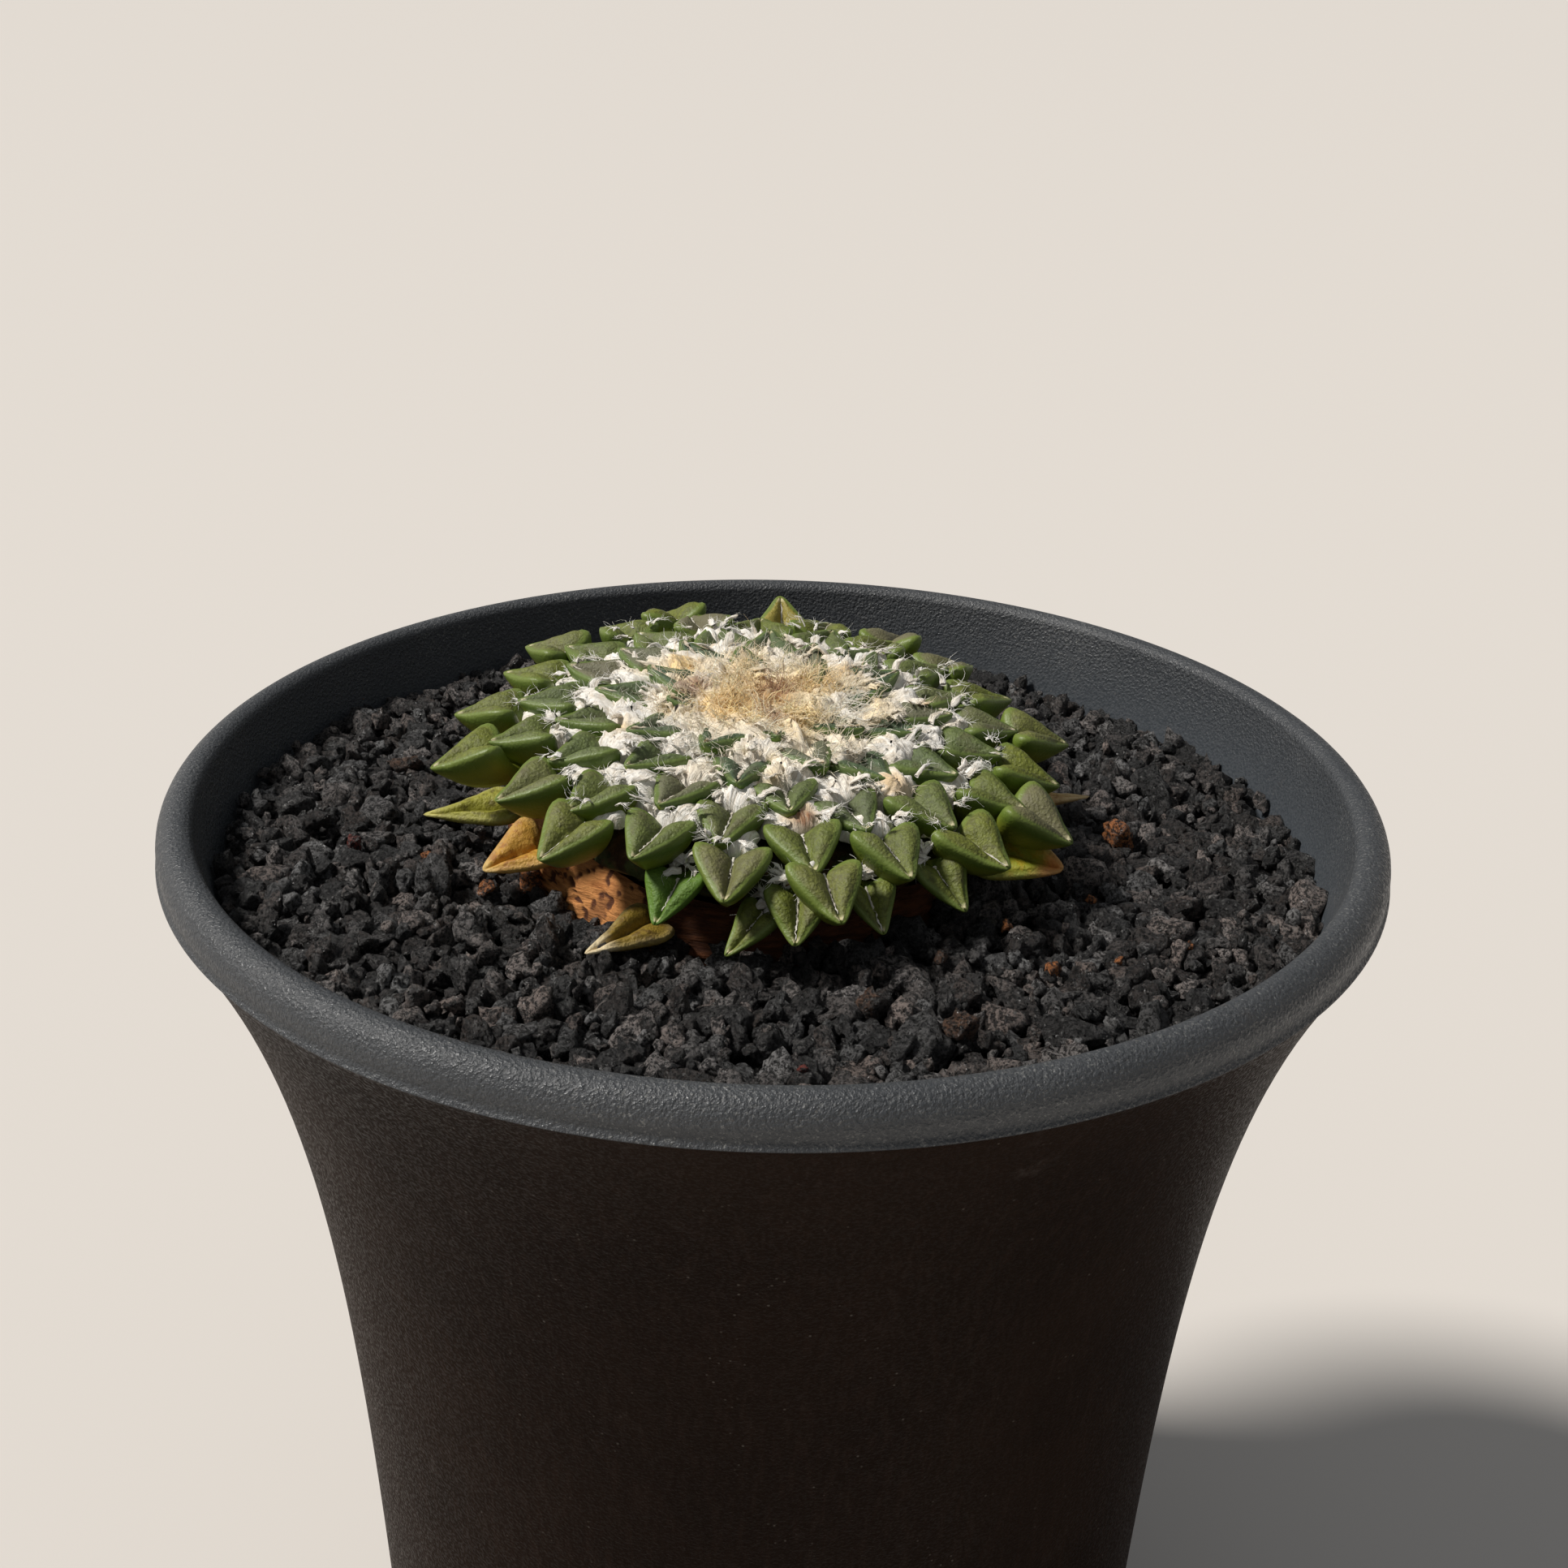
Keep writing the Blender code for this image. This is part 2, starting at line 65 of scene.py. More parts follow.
# Pot, as in the model
RIM_TOP = 108.0
RIM_RADIUS = 52.5
RIM_INNER_RADIUS = 49.45
RIM_INNER_DROP = 1.0
BEAD_CROWN_RADIUS = 50.6
BEAD_SHOULDER_DROP = 2.1
PARTING_DROP = 3.4
WALL_RADIUS = 40.33
WALL_TAPER = 0.0207
FLARE = 12.13
FLARE_LENGTH = 22.76
WALL_THICKNESS = 2.0
LIP_DEPTH = 9.4
FOOT_HEIGHT = 3.0
FOOT_WIDTH = 3.6
FOOT_CHAMFER = 0.8
FLOOR_THICKNESS = 2.5
DRAIN_SLOTS = 6
DRAIN_WIDTH = 3.0
DRAIN_LENGTH = 11.0
DRAIN_RADIUS = 24.0

# Fine form of the pot: the parting line, out from the wall and up from the parting, and the mesh's steps
PARTING_LINE = ((-0.08, -0.34), (0.10, -0.20), (0.20, -0.06), (0.16, 0.08), (0.04, 0.20))
PARTING_CLEARANCE = 0.9
FOOT_CLEARANCE = 1.5
POT_SIDES = 224
OUTER_ROWS = 44
INNER_ROWS = 14
SHARP_EDGE = math.radians(40)

# Grit surface, as in the model
GRIT_LEVEL = RIM_TOP - 6.2
GRIT_SLOPE_X = -0.028
GRIT_SLOPE_Y = -0.012
GRIT_HOLLOW = 1.0
GRIT_BANK = 0.9
GRIT_HOLLOW_AZIMUTH = math.radians(238)
GRIT_HOLLOW_SHARPNESS = 3
NEAR_RADIUS = 23.0
FAR_RADIUS = 33.0

# Bed, stones and crumbs: how many are tried, their radii, and how high they lie against the grit's surface
BED_START = 17.0
BED_DEPTH = 2.3
BED_ROUGHNESS = 0.55
BED_ROWS = 50
BED_SIDES = 200
STONES_TRIED = 1500
STONE_SPREAD = (0.10, 0.27)
STONE_LIMITS = (0.72, 2.3)
STONE_LEVEL = (-0.9, 0.35)
STONE_SINK = 0.60
STONE_CLOSENESS = 0.62
STONE_TRIES = 16
STONE_CLEARANCE = 21.5
CRUMBS_TRIED = 2400
CRUMB_LIMITS = (0.36, 0.85)
CRUMB_LEVEL = (-1.9, 0.1)
CRUMB_CLEARANCE = 21.8
ODD_LEVEL = 0.35
ODD_SINK = 0.1

# Form of a stone of radius one: planes that cut it, its furthest reach, its lumps, and how it is stretched
STONE_CUTS = 8
CUT_DISTANCES = (0.42, 0.88)
CUT_REACH = 1.12
STONE_LUMPS = 0.6
STONE_STRETCH = (0.72, 1.45)

# Fineness, seed and roughness of the three kinds of stone
STONE_KIND = (92, 102, 0.50)
CRUMB_KIND = (38, 103, 0.38)
ODD_KIND = (118, 104, 0.34)

# Greys of the lava, and how a warm stone differs in red, green and blue
LAVA_DARKEST = 0.044
LAVA_RANGE = 0.280
LAVA_RARITY = 2.6
LAVA_WARMTH = np.array((0.30, 0.04, -0.08))

# Rusty, reddish and brown grains that catch the eye: x, y, radius, and their colour
RUSTY = (0.62, 0.23, 0.075)
REDDISH = (0.26, 0.050, 0.035)
BROWN = (0.150, 0.085, 0.055)
ODD_GRAINS = (
    (-20.3, -11.4, 1.0, RUSTY), (-23.7, -14.3, 0.65, RUSTY), (30.7, 0.2, 1.25, RUSTY),
    (26.6, -12.5, 0.55, RUSTY), (27.4, -22.3, 0.45, RUSTY), (21.8, -24.5, 0.95, RUSTY),
    (18.9, -18.2, 0.45, RUSTY), (33.5, -19.5, 0.55, RUSTY), (31.6, 38.0, 0.7, RUSTY),
    (-42.0, 24.9, 0.45, RUSTY), (-29.6, -9.4, 0.5, RUSTY), (13.3, -23.2, 0.6, BROWN),
    (2.3, -40.2, 0.5, REDDISH), (-36.0, -8.0, 0.7, REDDISH), (7.3, -30.2, 1.2, BROWN),
    (13.7, -33.8, 1.3, BROWN), (-34.6, 8.8, 1.2, BROWN),
)

# Plant, as in the model
PLANT_X = -1.3
PLANT_Y = 0.5
LEAN_FRONT = math.radians(4.6)
LEAN_RIGHT = math.radians(2.9)
ROOT_PROFILE = ((-2.9, 19.6), (-4.2, 21.4), (-6.4, 22.4), (-9.0, 21.8), (-14.0, 19.0), (-22.0, 15.0),
                (-34.0, 9.0), (-46.0, 3.6), (-52.0, 1.2))
TUBERCLES = 68
HIDDEN_TUBERCLES = 5.0
DIVERGENCE = math.radians(137.24)
FIRST_AZIMUTH = math.radians(276.1)
SPREAD_POWER = 0.505
TIP_RADIUS = 29.2
CROWN_TIP_HEIGHT = 7.2
TIP_FALL = 6.0
CORE_PROFILE = ((-2.6, 19.8), (-1.0, 21.4), (0.8, 20.0), (2.2, 15.0), (3.6, 8.0), (4.2, 1.0))
SPROUT_SEED = 5
TIP_SHIFT = 0.25
AZIMUTH_SHIFT = 0.02
SLOPE_SHIFT = 2.0
CROWN_SLOPE = 26.0
SLOPE_FALL = 50.0
SLOPE_POWER = 1.4
CROWN_LENGTH = 4.4
LENGTH_GAIN = 1.8
CROWN_WIDTH = 4.1
WIDTH_GAIN = 2.4
CROWN_DEPTH = 3.6
DEPTH_GAIN = 1.0
LOW_TUBERCLES = (
    ((2.0, -26.8, -3.2), 272, -38, 5.4, 5.6),
    ((-9.0, -23.9, -3.3), 247, -38, 5.2, 5.2),
    ((-3.4, -25.6, -5.0), 228, -36, 5.4, 3.8),
    ((15.4, -20.6, -3.2), 310, -36, 5.4, 5.0),
    ((8.6, -24.0, -3.6), 292, -40, 5.0, 4.6),
    ((21.0, 15.4, -3.4), 34, -34, 5.4, 4.8),
    ((2.5, 26.4, -2.6), 82, -36, 5.4, 4.8),
    ((-20.5, 18.6, -2.4), 136, -36, 5.4, 4.8),
)
LOW_DEPTH = 2.1
BRIGHT_LOW_TUBERCLE = 1
UPRIGHT_TUBERCLE = 59
UPRIGHT_SLOPE = 52.0
UPRIGHT_SHIFT = (3.1, -2.4, 2.7)
UPRIGHT_DEPTH = 0.7
OLD_TUBERCLES = (
    ((-30.2, -6.0, -3.2), 190, -6, 8.2, 4.2),
    ((-23.9, -14.2, -3.9), 206, -18, 5.9, 4.6),
    ((-14.6, -25.6, -4.9), 225, -3, 8.2, 3.6),
    ((24.0, -12.4, -3.7), 331, -8, 7.0, 4.4),
    ((28.4, 2.4, -3.9), 4, -4, 8.7, 3.8),
)
OLD_DEPTH = 1.4
WOOL_PROFILE = ((0.0, 6.3), (5.0, 6.7), (10.0, 5.3), (15.0, 4.0), (20.0, 2.3))

# How far single tubercles differ from the model: length, width, roll, sideways bend, lift and unevenness
LENGTH_HABIT = (0.95, 1.04)
WIDTH_HABIT = (0.94, 1.07)
ROLL_HABIT = 5
LOW_ROLL_HABIT = 8
BEND_HABIT = 0.3
LIFT_HABIT = (-0.1, 0.25)
LOW_LIFT = 0.15
OLD_LIFT = 0.3
UNEVEN_HABIT = 0.08
LOW_UNEVEN_HABIT = 0.06
OLD_UNEVEN_HABIT = 0.12

# Half outline of a tubercle's top, from its tip round the shoulder into the notch: share of the length
# back from the tip, and share of the half width
HEART = ((0.0, 0.0), (0.012, 0.09), (0.09, 0.23), (0.26, 0.45), (0.46, 0.69), (0.64, 0.88), (0.78, 0.98),
         (0.88, 1.0), (0.96, 0.92), (1.0, 0.72), (0.99, 0.48), (0.95, 0.27), (0.89, 0.11), (0.82, 0.0))
LEAFLET = ((0.0, 0.0), (0.012, 0.06), (0.12, 0.20), (0.34, 0.44), (0.56, 0.74), (0.72, 0.96), (0.84, 1.0),
           (0.94, 0.88), (1.0, 0.66), (1.0, 0.42), (0.95, 0.18), (0.90, 0.0))
GROOVE_SLOPE = 0.47
GROOVE_START = 0.05
SHOULDER_RISE = 0.22
LOBE_SWELL = 0.52
CREASE_DEPTH = 0.12
CREASE_WIDTH = 0.4
KEEL_START = 0.04
KEEL_END = 1.35
KEEL_RISE = 2.9
EDGE_RADIUS = 0.62
SKIN_ROWS = 24
FLANK_STEPS = (1.0, 0.8, 0.6, 0.42, 0.26, 0.12)
EDGE_TURNS = (0.0, 30.0, 60.0, 90.0)
TOP_STEPS = (0.16, 0.36, 0.58, 0.76, 0.9, 1.0)
LIVING_WRINKLE = 0.11
OLD_WRINKLE = 0.16

# Bark of the neck, whose plates are laid out on a cylinder, and the scars on the stem
NECK_STEPS = ((-2.9, -12.0, 54), (-13.0, -52.0, 10))
BARK_RADIUS = 22.0
BARK_STRETCH = 1.2
BARK_SIDES = 320
BARK_INSET = 0.4
BARK_GRAIN = (0.35, 0.35, 2.2)
RIPPLE_DEPTH = 0.22
PLATES = 64
PLATE_HEIGHTS = (-16.0, -2.0)
PLATE_WARP = 1.5
PLATE_TILT = 0.05
PLATE_LIFT = 0.25
CRACK_WIDTH = 0.3
CRACK_DEPTH = 0.25
FLAKE_SHARES = (0.35, 1.0)
# The flakes are painted bright only round this side, toward the key light: painted light, with the rest of
# the bark painted shade
LIT_FLAKES_AZIMUTH = math.radians(216)
LIT_FLAKES_START = 0.725
LIT_FLAKES_FADE = 4.0
BURIED_HEIGHT = -15.0
BURIED_FADE = 4.0
CORE_ROWS = 24
CORE_SIDES = 160
CORE_STRETCH = 1.6
SCAR_DEPTH = 0.9
CORE_INSET = 1.1

# Mat and threads of the crown's wool
MAT_RADIUS = 17.0
MAT_ROWS = 80
MAT_SIDES = 240
CLUMPS = 300
CLUMP_THREADS = 18
CLUMP_RADIUS = 11.5
CLUMP_LENGTHS = (1.3, 2.8)
CLUMP_CURLS = (0.3, 1.0)
AXIL_REACH = 0.6
AXIL_THREADS = 24
AXIL_LENGTHS = (0.6, 1.5)
AXIL_CURLS = (0.2, 0.9)
THREAD_WIDTHS = (0.030, 0.060)
THREAD_STEPS = 5
THREAD_SIDES = 3

# Pads of wool behind the notches: shares of the tubercle's length and width, and heights
PAD_RINGS = 10
PAD_SIDES = 40
PAD_MIDDLE = 1.16
PAD_FRONT = 0.40
PAD_REAR = 0.60
PAD_SPREAD = 0.60
PAD_FOOT = -2.0
PAD_HEIGHT = 2.75
PAD_NOTCH = 0.55
PAD_REACH = 0.97

# Torn points of felt, their fringe, and the strips in the grooves
FELT_REACH = 0.95
FELT_STEPS = 9
FELT_SIDES = 8
FELT_POINTS = 9
FELT_THICKNESS = 0.26
FELT_CRUMPLE = 0.26
LOW_FELT_POINTS = 7
CROWN_FELT_POINTS = 150
CROWN_FELT_RADIUS = 12.0
FRINGE_HAIRS = 7
FRINGE_LENGTHS = (0.5, 1.3)
FRINGE_WIDTHS = (0.020, 0.038)
FRINGE_CURLS = (0.1, 0.8)
STRIP_ROWS = 18
STRIP_SIDES = 6

# How fast the fibres' own pattern runs along them, and how far apart it lies on neighbours
FIBRE_STRETCH = 0.16
FIBRE_SHIFT = 3.7

# Golden, tan and brown spots in the wool: place in the plant's frame, radius, and colour
GOLDEN = (0.98, 0.70, 0.32)
TAN = (0.74, 0.53, 0.28)
UMBER = (0.27, 0.105, 0.040)
WOOL_SPOTS = (
    (-3.2, -2.4, 2.1, GOLDEN), (-7.6, 5.6, 1.6, GOLDEN), (4.6, 2.8, 1.5, GOLDEN), (0.6, 1.0, 1.9, GOLDEN),
    (3.0, -16.6, 1.2, TAN), (10.6, -11.4, 1.2, TAN), (7.0, 7.0, 1.2, TAN), (-1.8, 8.2, 1.2, TAN),
    (-12.2, -5.6, 0.9, TAN), (14.6, 1.8, 1.0, TAN), (-6.4, 12.6, 1.1, TAN),
    (0.7, 1.4, 1.3, UMBER), (0.9, -3.8, 1.0, UMBER), (-6.8, 1.0, 1.4, UMBER), (3.4, -17.2, 0.7, UMBER),
)
SPOT_HEIGHT = 5.0
SPOT_STRENGTH = 0.9
CROWN_MIDDLE = (0.8, 0.6, 6.0)
GOLD_RADIUS = 11.0
BRIGHTEST_WOOL = 0.97

# Colours of the wool
WOOL_WHITE = (0.94, 0.91, 0.85)
WOOL_CREAM = (0.96, 0.88, 0.74)
WOOL_GOLD = (0.99, 0.77, 0.43)
# Painted shade for the grooves of felted and matted wool
FELT_PAINTED_SHADE = (0.56, 0.46, 0.33)
MAT_PAINTED_SHADE = (0.60, 0.44, 0.25)
STRIP_TAN = (0.80, 0.62, 0.38)
STRIP_WHITE = (0.80, 0.77, 0.70)
STRIP_END = (0.84, 0.80, 0.71)

# Gloss and colours of the pot, and colours of the grit
WALL_SPECULAR = 0.03
RIM_SPECULAR = 0.5
# Both wall colours are warmed as a painted reflection of a warm floor; the cloud between them is the
# plastic's own uneven tone
WALL_BLACK = (0.0085, 0.0040, 0.0020)
WALL_BROWN_REFLECTION = (0.0130, 0.0064, 0.0034)
WALL_STREAK = (0.022, 0.012, 0.008)
# The rim's greys are the plastic's own with a blue cast that is painted sky reflection; the inside is
# painted bluer still as reflection of the sky
BEAD_DARK = (0.0360, 0.0395, 0.0440)
BEAD_PALE = (0.0500, 0.0535, 0.0580)
INNER_SKY_REFLECTION = (0.0440, 0.0520, 0.0610)
SCUFF = (0.080, 0.066, 0.058)
# Painted glints: bright specks over the pot, and sparkle on the rim
PAINTED_SPECK_GLINT = (0.17, 0.15, 0.13)
PAINTED_RIM_GLINT = (0.22, 0.22, 0.21)
# Painted shade for the low hollows between the lava's crumbs and for its pits, and painted glints for some
# facets
STONE_GAP_SHADE = (0.002, 0.002, 0.002)
STONE_PIT_SHADE = (0.001, 0.001, 0.001)
STONE_PAINTED_GLINT = (0.30, 0.30, 0.29)
# The bed under the stones is painted near black, as the shade between them
BED_SHADE = 0.004

# Colours of the plant: the first of a pair is for the tubercles near the crown, or the darker one
LOBE = ((0.088, 0.138, 0.074), (0.165, 0.188, 0.022))
LOBE_MOTTLE = ((0.058, 0.094, 0.050), (0.104, 0.118, 0.012))
FLANK = ((0.050, 0.104, 0.030), (0.104, 0.162, 0.021))
# The lower flanks are yellower as the skin's own colour, and brighter as a painted glow of light through the
# skin
LOW_FLANK = ((0.110, 0.190, 0.022), (0.220, 0.250, 0.024))
SKIN_GRAIN = (0.040, 0.048, 0.018)
SKIN_PATCH = (0.150, 0.125, 0.070)
SKIN_BROWN = (0.155, 0.135, 0.088)
SKIN_GOLDEN = (0.36, 0.27, 0.055)
SKIN_DOT = (0.22, 0.28, 0.10)
# Painted highlight along the tubercles' rounded edges
SKIN_EDGE_HIGHLIGHT = (0.26, 0.28, 0.075)
SKIN_FRESH = (0.075, 0.19, 0.016)
SKIN_TIP = (0.62, 0.56, 0.34)
STEM = ((0.030, 0.040, 0.012), (0.075, 0.090, 0.024))
STEM_DRY = ((0.050, 0.022, 0.009), (0.130, 0.065, 0.026))
# The bark's plates are darkened as painted shade, and its flakes brightened as painted light
SHADED_BARK = ((0.065, 0.020, 0.007), (0.160, 0.052, 0.016))
LIT_FLAKE = ((0.36, 0.125, 0.030), (0.72, 0.315, 0.100))
CRACK = (0.090, 0.028, 0.010)
OLD_EDGE = (0.8, 0.75, 0.5)

# Outline of the old tubercles, their base, tip and spot colours, the tip's share of the length, their roll,
# and their breadth and depth against the model
OLD_LOOKS = (
    (LEAFLET, (0.30, 0.29, 0.035), (0.50, 0.46, 0.12), (0.15, 0.13, 0.02), 0.25, -14.0, 1.15),
    (HEART, (0.50, 0.27, 0.040), (0.58, 0.38, 0.11), (0.34, 0.14, 0.02), 0.2, -20.0, 1.25),
    (LEAFLET, (0.24, 0.16, 0.022), (0.80, 0.66, 0.42), (0.12, 0.070, 0.012), 0.42, -16.0, 1.25),
    (HEART, (0.32, 0.34, 0.030), (0.66, 0.27, 0.07), (0.40, 0.30, 0.02), 0.36, 36.0, 1.5),
    (LEAFLET, (0.52, 0.34, 0.13), (0.62, 0.45, 0.22), (0.33, 0.18, 0.06), 0.4, 0.0, 1.0),
)

# Camera, from the photograph's own perspective
CAMERA_PLACE = (0.0, -0.150385, 0.175238)
CAMERA_RIGHT = (0.9997292, 0.0055222, 0.0226049)
CAMERA_DOWN = (0.0228435, -0.4179768, -0.9081705)
CAMERA_AHEAD = (0.0044332, 0.9084409, -0.4179897)
CAMERA_LENS = 42.857
SENSOR_WIDTH = 36.0

# Stage
FLOOR_SIZE = 120.0
FLOOR_COLOUR = (0.66, 0.625, 0.585)
KEY_STRENGTH = 4.0
KEY_ANGLE = math.radians(11.0)
KEY_COLOUR = (1.0, 0.965, 0.92)
KEY_WAY = (0.66, -0.02, -0.78)
SKY_COLOUR = (0.93, 0.96, 1.0, 1.0)
SKY_STRENGTH = 0.22


def lattice_noise(points, seed):
    """Smooth noise between -1 and 1 at points given in cells of the noise."""
    base = np.floor(points).astype(np.int64)
    part = points - base
    smooth = part * part * (3.0 - 2.0 * part)
    total = np.zeros(len(points))
    for corner in range(8):
        shift = np.array([(corner >> axis) & 1 for axis in range(3)])
        cell = base + shift
        mixed = cell[:, 0] * 73856093 ^ cell[:, 1] * 19349663 ^ cell[:, 2] * 83492791 ^ (seed * 40503 + 977)
        mixed = (mixed ^ (mixed >> 13)) * 1274126177
        mixed = (mixed ^ (mixed >> 16)) & 0xFFFFFF
        weight = np.prod(np.where(shift, smooth, 1.0 - smooth), axis=1)
        total += weight * (mixed / float(0x7FFFFF) - 1.0)
    return total


def fractal(points, cell, seed, octaves=3):
    """Noise of several octaves, each half as large and twice as fine, at points in millimetres."""
    total = np.zeros(len(points))
    share = 1.0
    for octave in range(octaves):
        total += share * lattice_noise(np.asarray(points) / (cell * share) + 37.2 * octave, seed + octave)
        share *= 0.5
    return total


def unit(vectors):
    return vectors / np.maximum(np.linalg.norm(vectors, axis=-1, keepdims=True), 1e-9)


def clamped(values):
    return np.clip(values, 0.0, 1.0)


def blend(share, first, second):
    """Mix two colours, or rows of colours, by a share."""
    return np.asarray(first) * (1.0 - share) + np.asarray(second) * share


def polar(radius, angle, height):
    """Points from radii, angles and heights, each a number or an array."""
    return np.stack(np.broadcast_arrays(radius * np.cos(angle), radius * np.sin(angle), height), axis=-1)


def rings(values, sides):
    """Each value, or row of values, repeated round a ring of points, and the angles of those points."""
    ring = np.linspace(0.0, TURN, sides, endpoint=False)
    return np.repeat(values, sides, axis=0), np.tile(ring, len(values))


def grid_faces(rows, columns):
    """Quads of a grid of points stored row by row, whose last column joins its first."""
    row, column = np.meshgrid(np.arange(rows - 1), np.arange(columns), indexing="ij")
    here = row * columns
    after = (column + 1) % columns
    faces = np.stack((here + column, here + after, here + columns + after, here + columns + column), axis=-1)
    return faces.reshape(-1, 4)


def copies(faces, count, points):
    """Faces of one shape, repeated for a number of shapes that have so many points each."""
    return (faces[None] + (np.arange(count) * points)[:, None, None]).reshape(-1, faces.shape[1])


def smooth_path(corners, count):
    """Points at even steps along a smooth curve through the corners."""
    corners = np.asarray(corners, dtype=float)
    padded = np.vstack((2 * corners[0] - corners[1], corners, 2 * corners[-1] - corners[-2]))
    dense = [corners[0]]
    for k in range(1, len(padded) - 2):
        before, start, end, after = padded[k - 1:k + 3]
        for t in np.arange(1, 17) / 16:
            bent = 2 * before - 5 * start + 4 * end - after
            dense.append(0.5 * (2 * start + (end - before) * t + bent * t * t
                                + (3 * start - before - 3 * end + after) * t ** 3))
    dense = np.array(dense)
    travel = np.concatenate(([0.0], np.cumsum(np.linalg.norm(np.diff(dense, axis=0), axis=1))))
    wanted = np.linspace(0.0, travel[-1], count)
    return np.stack([np.interp(wanted, travel, dense[:, axis]) for axis in range(2)], axis=1)


def swept(lines, across, upward, widths, heights, around):
    """Lens-shaped bodies along many lines at once: their points, faces, and places along the fibres."""
    count, rows = lines.shape[:2]
    travel = np.zeros((count, rows))
    travel[:, 1:] = np.cumsum(np.linalg.norm(np.diff(lines, axis=1), axis=2), axis=1)
    own = np.arange(count)[:, None] * FIBRE_SHIFT
    corners = []
    lay = []
    for angle in np.linspace(0.0, TURN, around, endpoint=False):
        wide = widths * math.cos(angle)
        high = heights * math.sin(angle)
        corners.append(lines + wide[:, :, None] * across + high[:, :, None] * upward)
        lay.append(np.stack((travel * FIBRE_STRETCH + own, wide + own, high), axis=-1))
    faces = copies(grid_faces(rows, around), count, rows * around)
    return np.stack(corners, axis=2).reshape(-1, 3), faces, np.stack(lay, axis=2).reshape(-1, 3)


def add_layer(mesh, name, values, kind="FLOAT", field="value"):
    """Store a value for each point of a mesh."""
    layer = mesh.attributes.new(name, kind, "POINT")
    layer.data.foreach_set(field, np.asarray(values, dtype=np.float32).ravel())


def add_object(name, data):
    """A new object of the scene."""
    made = bpy.data.objects.new(name, data)
    bpy.context.scene.collection.objects.link(made)
    return made


def mesh_piece(name, points, faces, material, masks=None, colours=None, lay=None, smooth=True):
    """Make a piece that rides on the root body, from points in millimetres and faces of one size."""
    mesh = bpy.data.meshes.new(name)
    points = np.asarray(points, dtype=np.float32) * MM
    faces = np.asarray(faces, dtype=np.int32)
    mesh.vertices.add(len(points))
    mesh.vertices.foreach_set("co", points.ravel())
    mesh.loops.add(faces.size)
    mesh.loops.foreach_set("vertex_index", faces.ravel())
    mesh.polygons.add(len(faces))
    mesh.polygons.foreach_set("loop_start", np.arange(0, faces.size, faces.shape[1], dtype=np.int32))
    mesh.update(calc_edges=True)
    for mask, values in (masks or {}).items():
        add_layer(mesh, mask, values)
    if colours is not None:
        opaque = np.column_stack((colours, np.ones(len(points))))
        add_layer(mesh, "tint", opaque, "FLOAT_COLOR", "color")
    if lay is not None:
        add_layer(mesh, "lay", lay, "FLOAT_VECTOR", "vector")
    if smooth:
        mesh.shade_smooth()
    mesh.materials.append(material)
    piece = add_object(name, mesh)
    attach(piece, "root")
    return piece


class Shader:
    """A Principled material put together from named steps."""

    def __init__(self, name, roughness=0.6, specular=0.5):
        self.material = bpy.data.materials.new(name)
        self.material.use_nodes = True
        self.tree = self.material.node_tree
        self.surface = self.tree.nodes["Principled BSDF"]
        self.surface.inputs["Roughness"].default_value = roughness
        self.surface.inputs["Specular IOR Level"].default_value = specular
        self.place = self.step("TexCoord", "Object")
        self.colour = None
        self.relief = None

    def feed(self, socket, value):
        if isinstance(value, bpy.types.NodeSocket):
            self.tree.links.new(value, socket)
        elif isinstance(value, tuple) and len(value) == 3 and socket.type == "RGBA":
            socket.default_value = (*value, 1.0)
        else:
            socket.default_value = value

    def step(self, kind, output, feeds=(), **properties):
        """The output of a new node, with its properties set and its inputs fed."""
        node = self.tree.nodes.new("ShaderNode" + kind)
        for name, value in properties.items():
            setattr(node, name, value)
        for name, value in feeds:
            self.feed(node.inputs[name], value)
        return node.outputs[output]

    def mask(self, name, output="Fac"):
        return self.step("Attribute", output, attribute_name=name)

    def along_fibres(self):
        """Places along the fibres, in metres as the other places are."""
        lay = self.mask("lay", "Vector")
        return self.step("VectorMath", "Vector", ((0, lay), ("Scale", MM)), operation="SCALE")

    def stretched(self, x, y, z):
        return self.step("Mapping", "Vector", (("Vector", self.place), ("Scale", (x, y, z))))

    def noise(self, size, detail=3.0, roughness=0.55, place=None):
        """Noise whose features are about size millimetres wide."""
        feeds = (("Vector", place or self.place), ("Scale", 1.0 / (size * MM)), ("Detail", detail),
                 ("Roughness", roughness))
        return self.step("TexNoise", "Fac", feeds)

    def cells(self, size, output="Distance"):
        """Voronoi cells about size millimetres wide."""
        return self.step("TexVoronoi", output, (("Vector", self.place), ("Scale", 1.0 / (size * MM))))

    def times(self, first, second):
        return self.step("Math", "Value", ((0, first), (1, second)), operation="MULTIPLY")

    def ramp(self, value, low, high, start=0.0, end=1.0):
        """Map low..high to start..end, smoothly and clamped."""
        feeds = (("Value", value), ("From Min", low), ("From Max", high), ("To Min", start), ("To Max", end))
        return self.step("MapRange", "Result", feeds, interpolation_type="SMOOTHSTEP")

    def mix(self, share, first, second):
        return self.step("Mix", "Result", (("Factor", share), ("A", first), ("B", second)), data_type="RGBA")

    def paint(self, share, colour):
        """Lay a colour over the surface's colour so far, by a share."""
        self.colour = self.mix(share, self.colour, colour)

    def emboss(self, height, depth):
        """Add relief of a given depth in millimetres to the surface's relief so far."""
        under = () if self.relief is None else (("Normal", self.relief),)
        self.relief = self.step("Bump", "Normal", (("Distance", depth * MM), ("Height", height), *under))

    def finish(self, roughness=None):
        for name, value in (("Base Color", self.colour), ("Roughness", roughness), ("Normal", self.relief)):
            if value is not None:
                self.feed(self.surface.inputs[name], value)
        return self.material


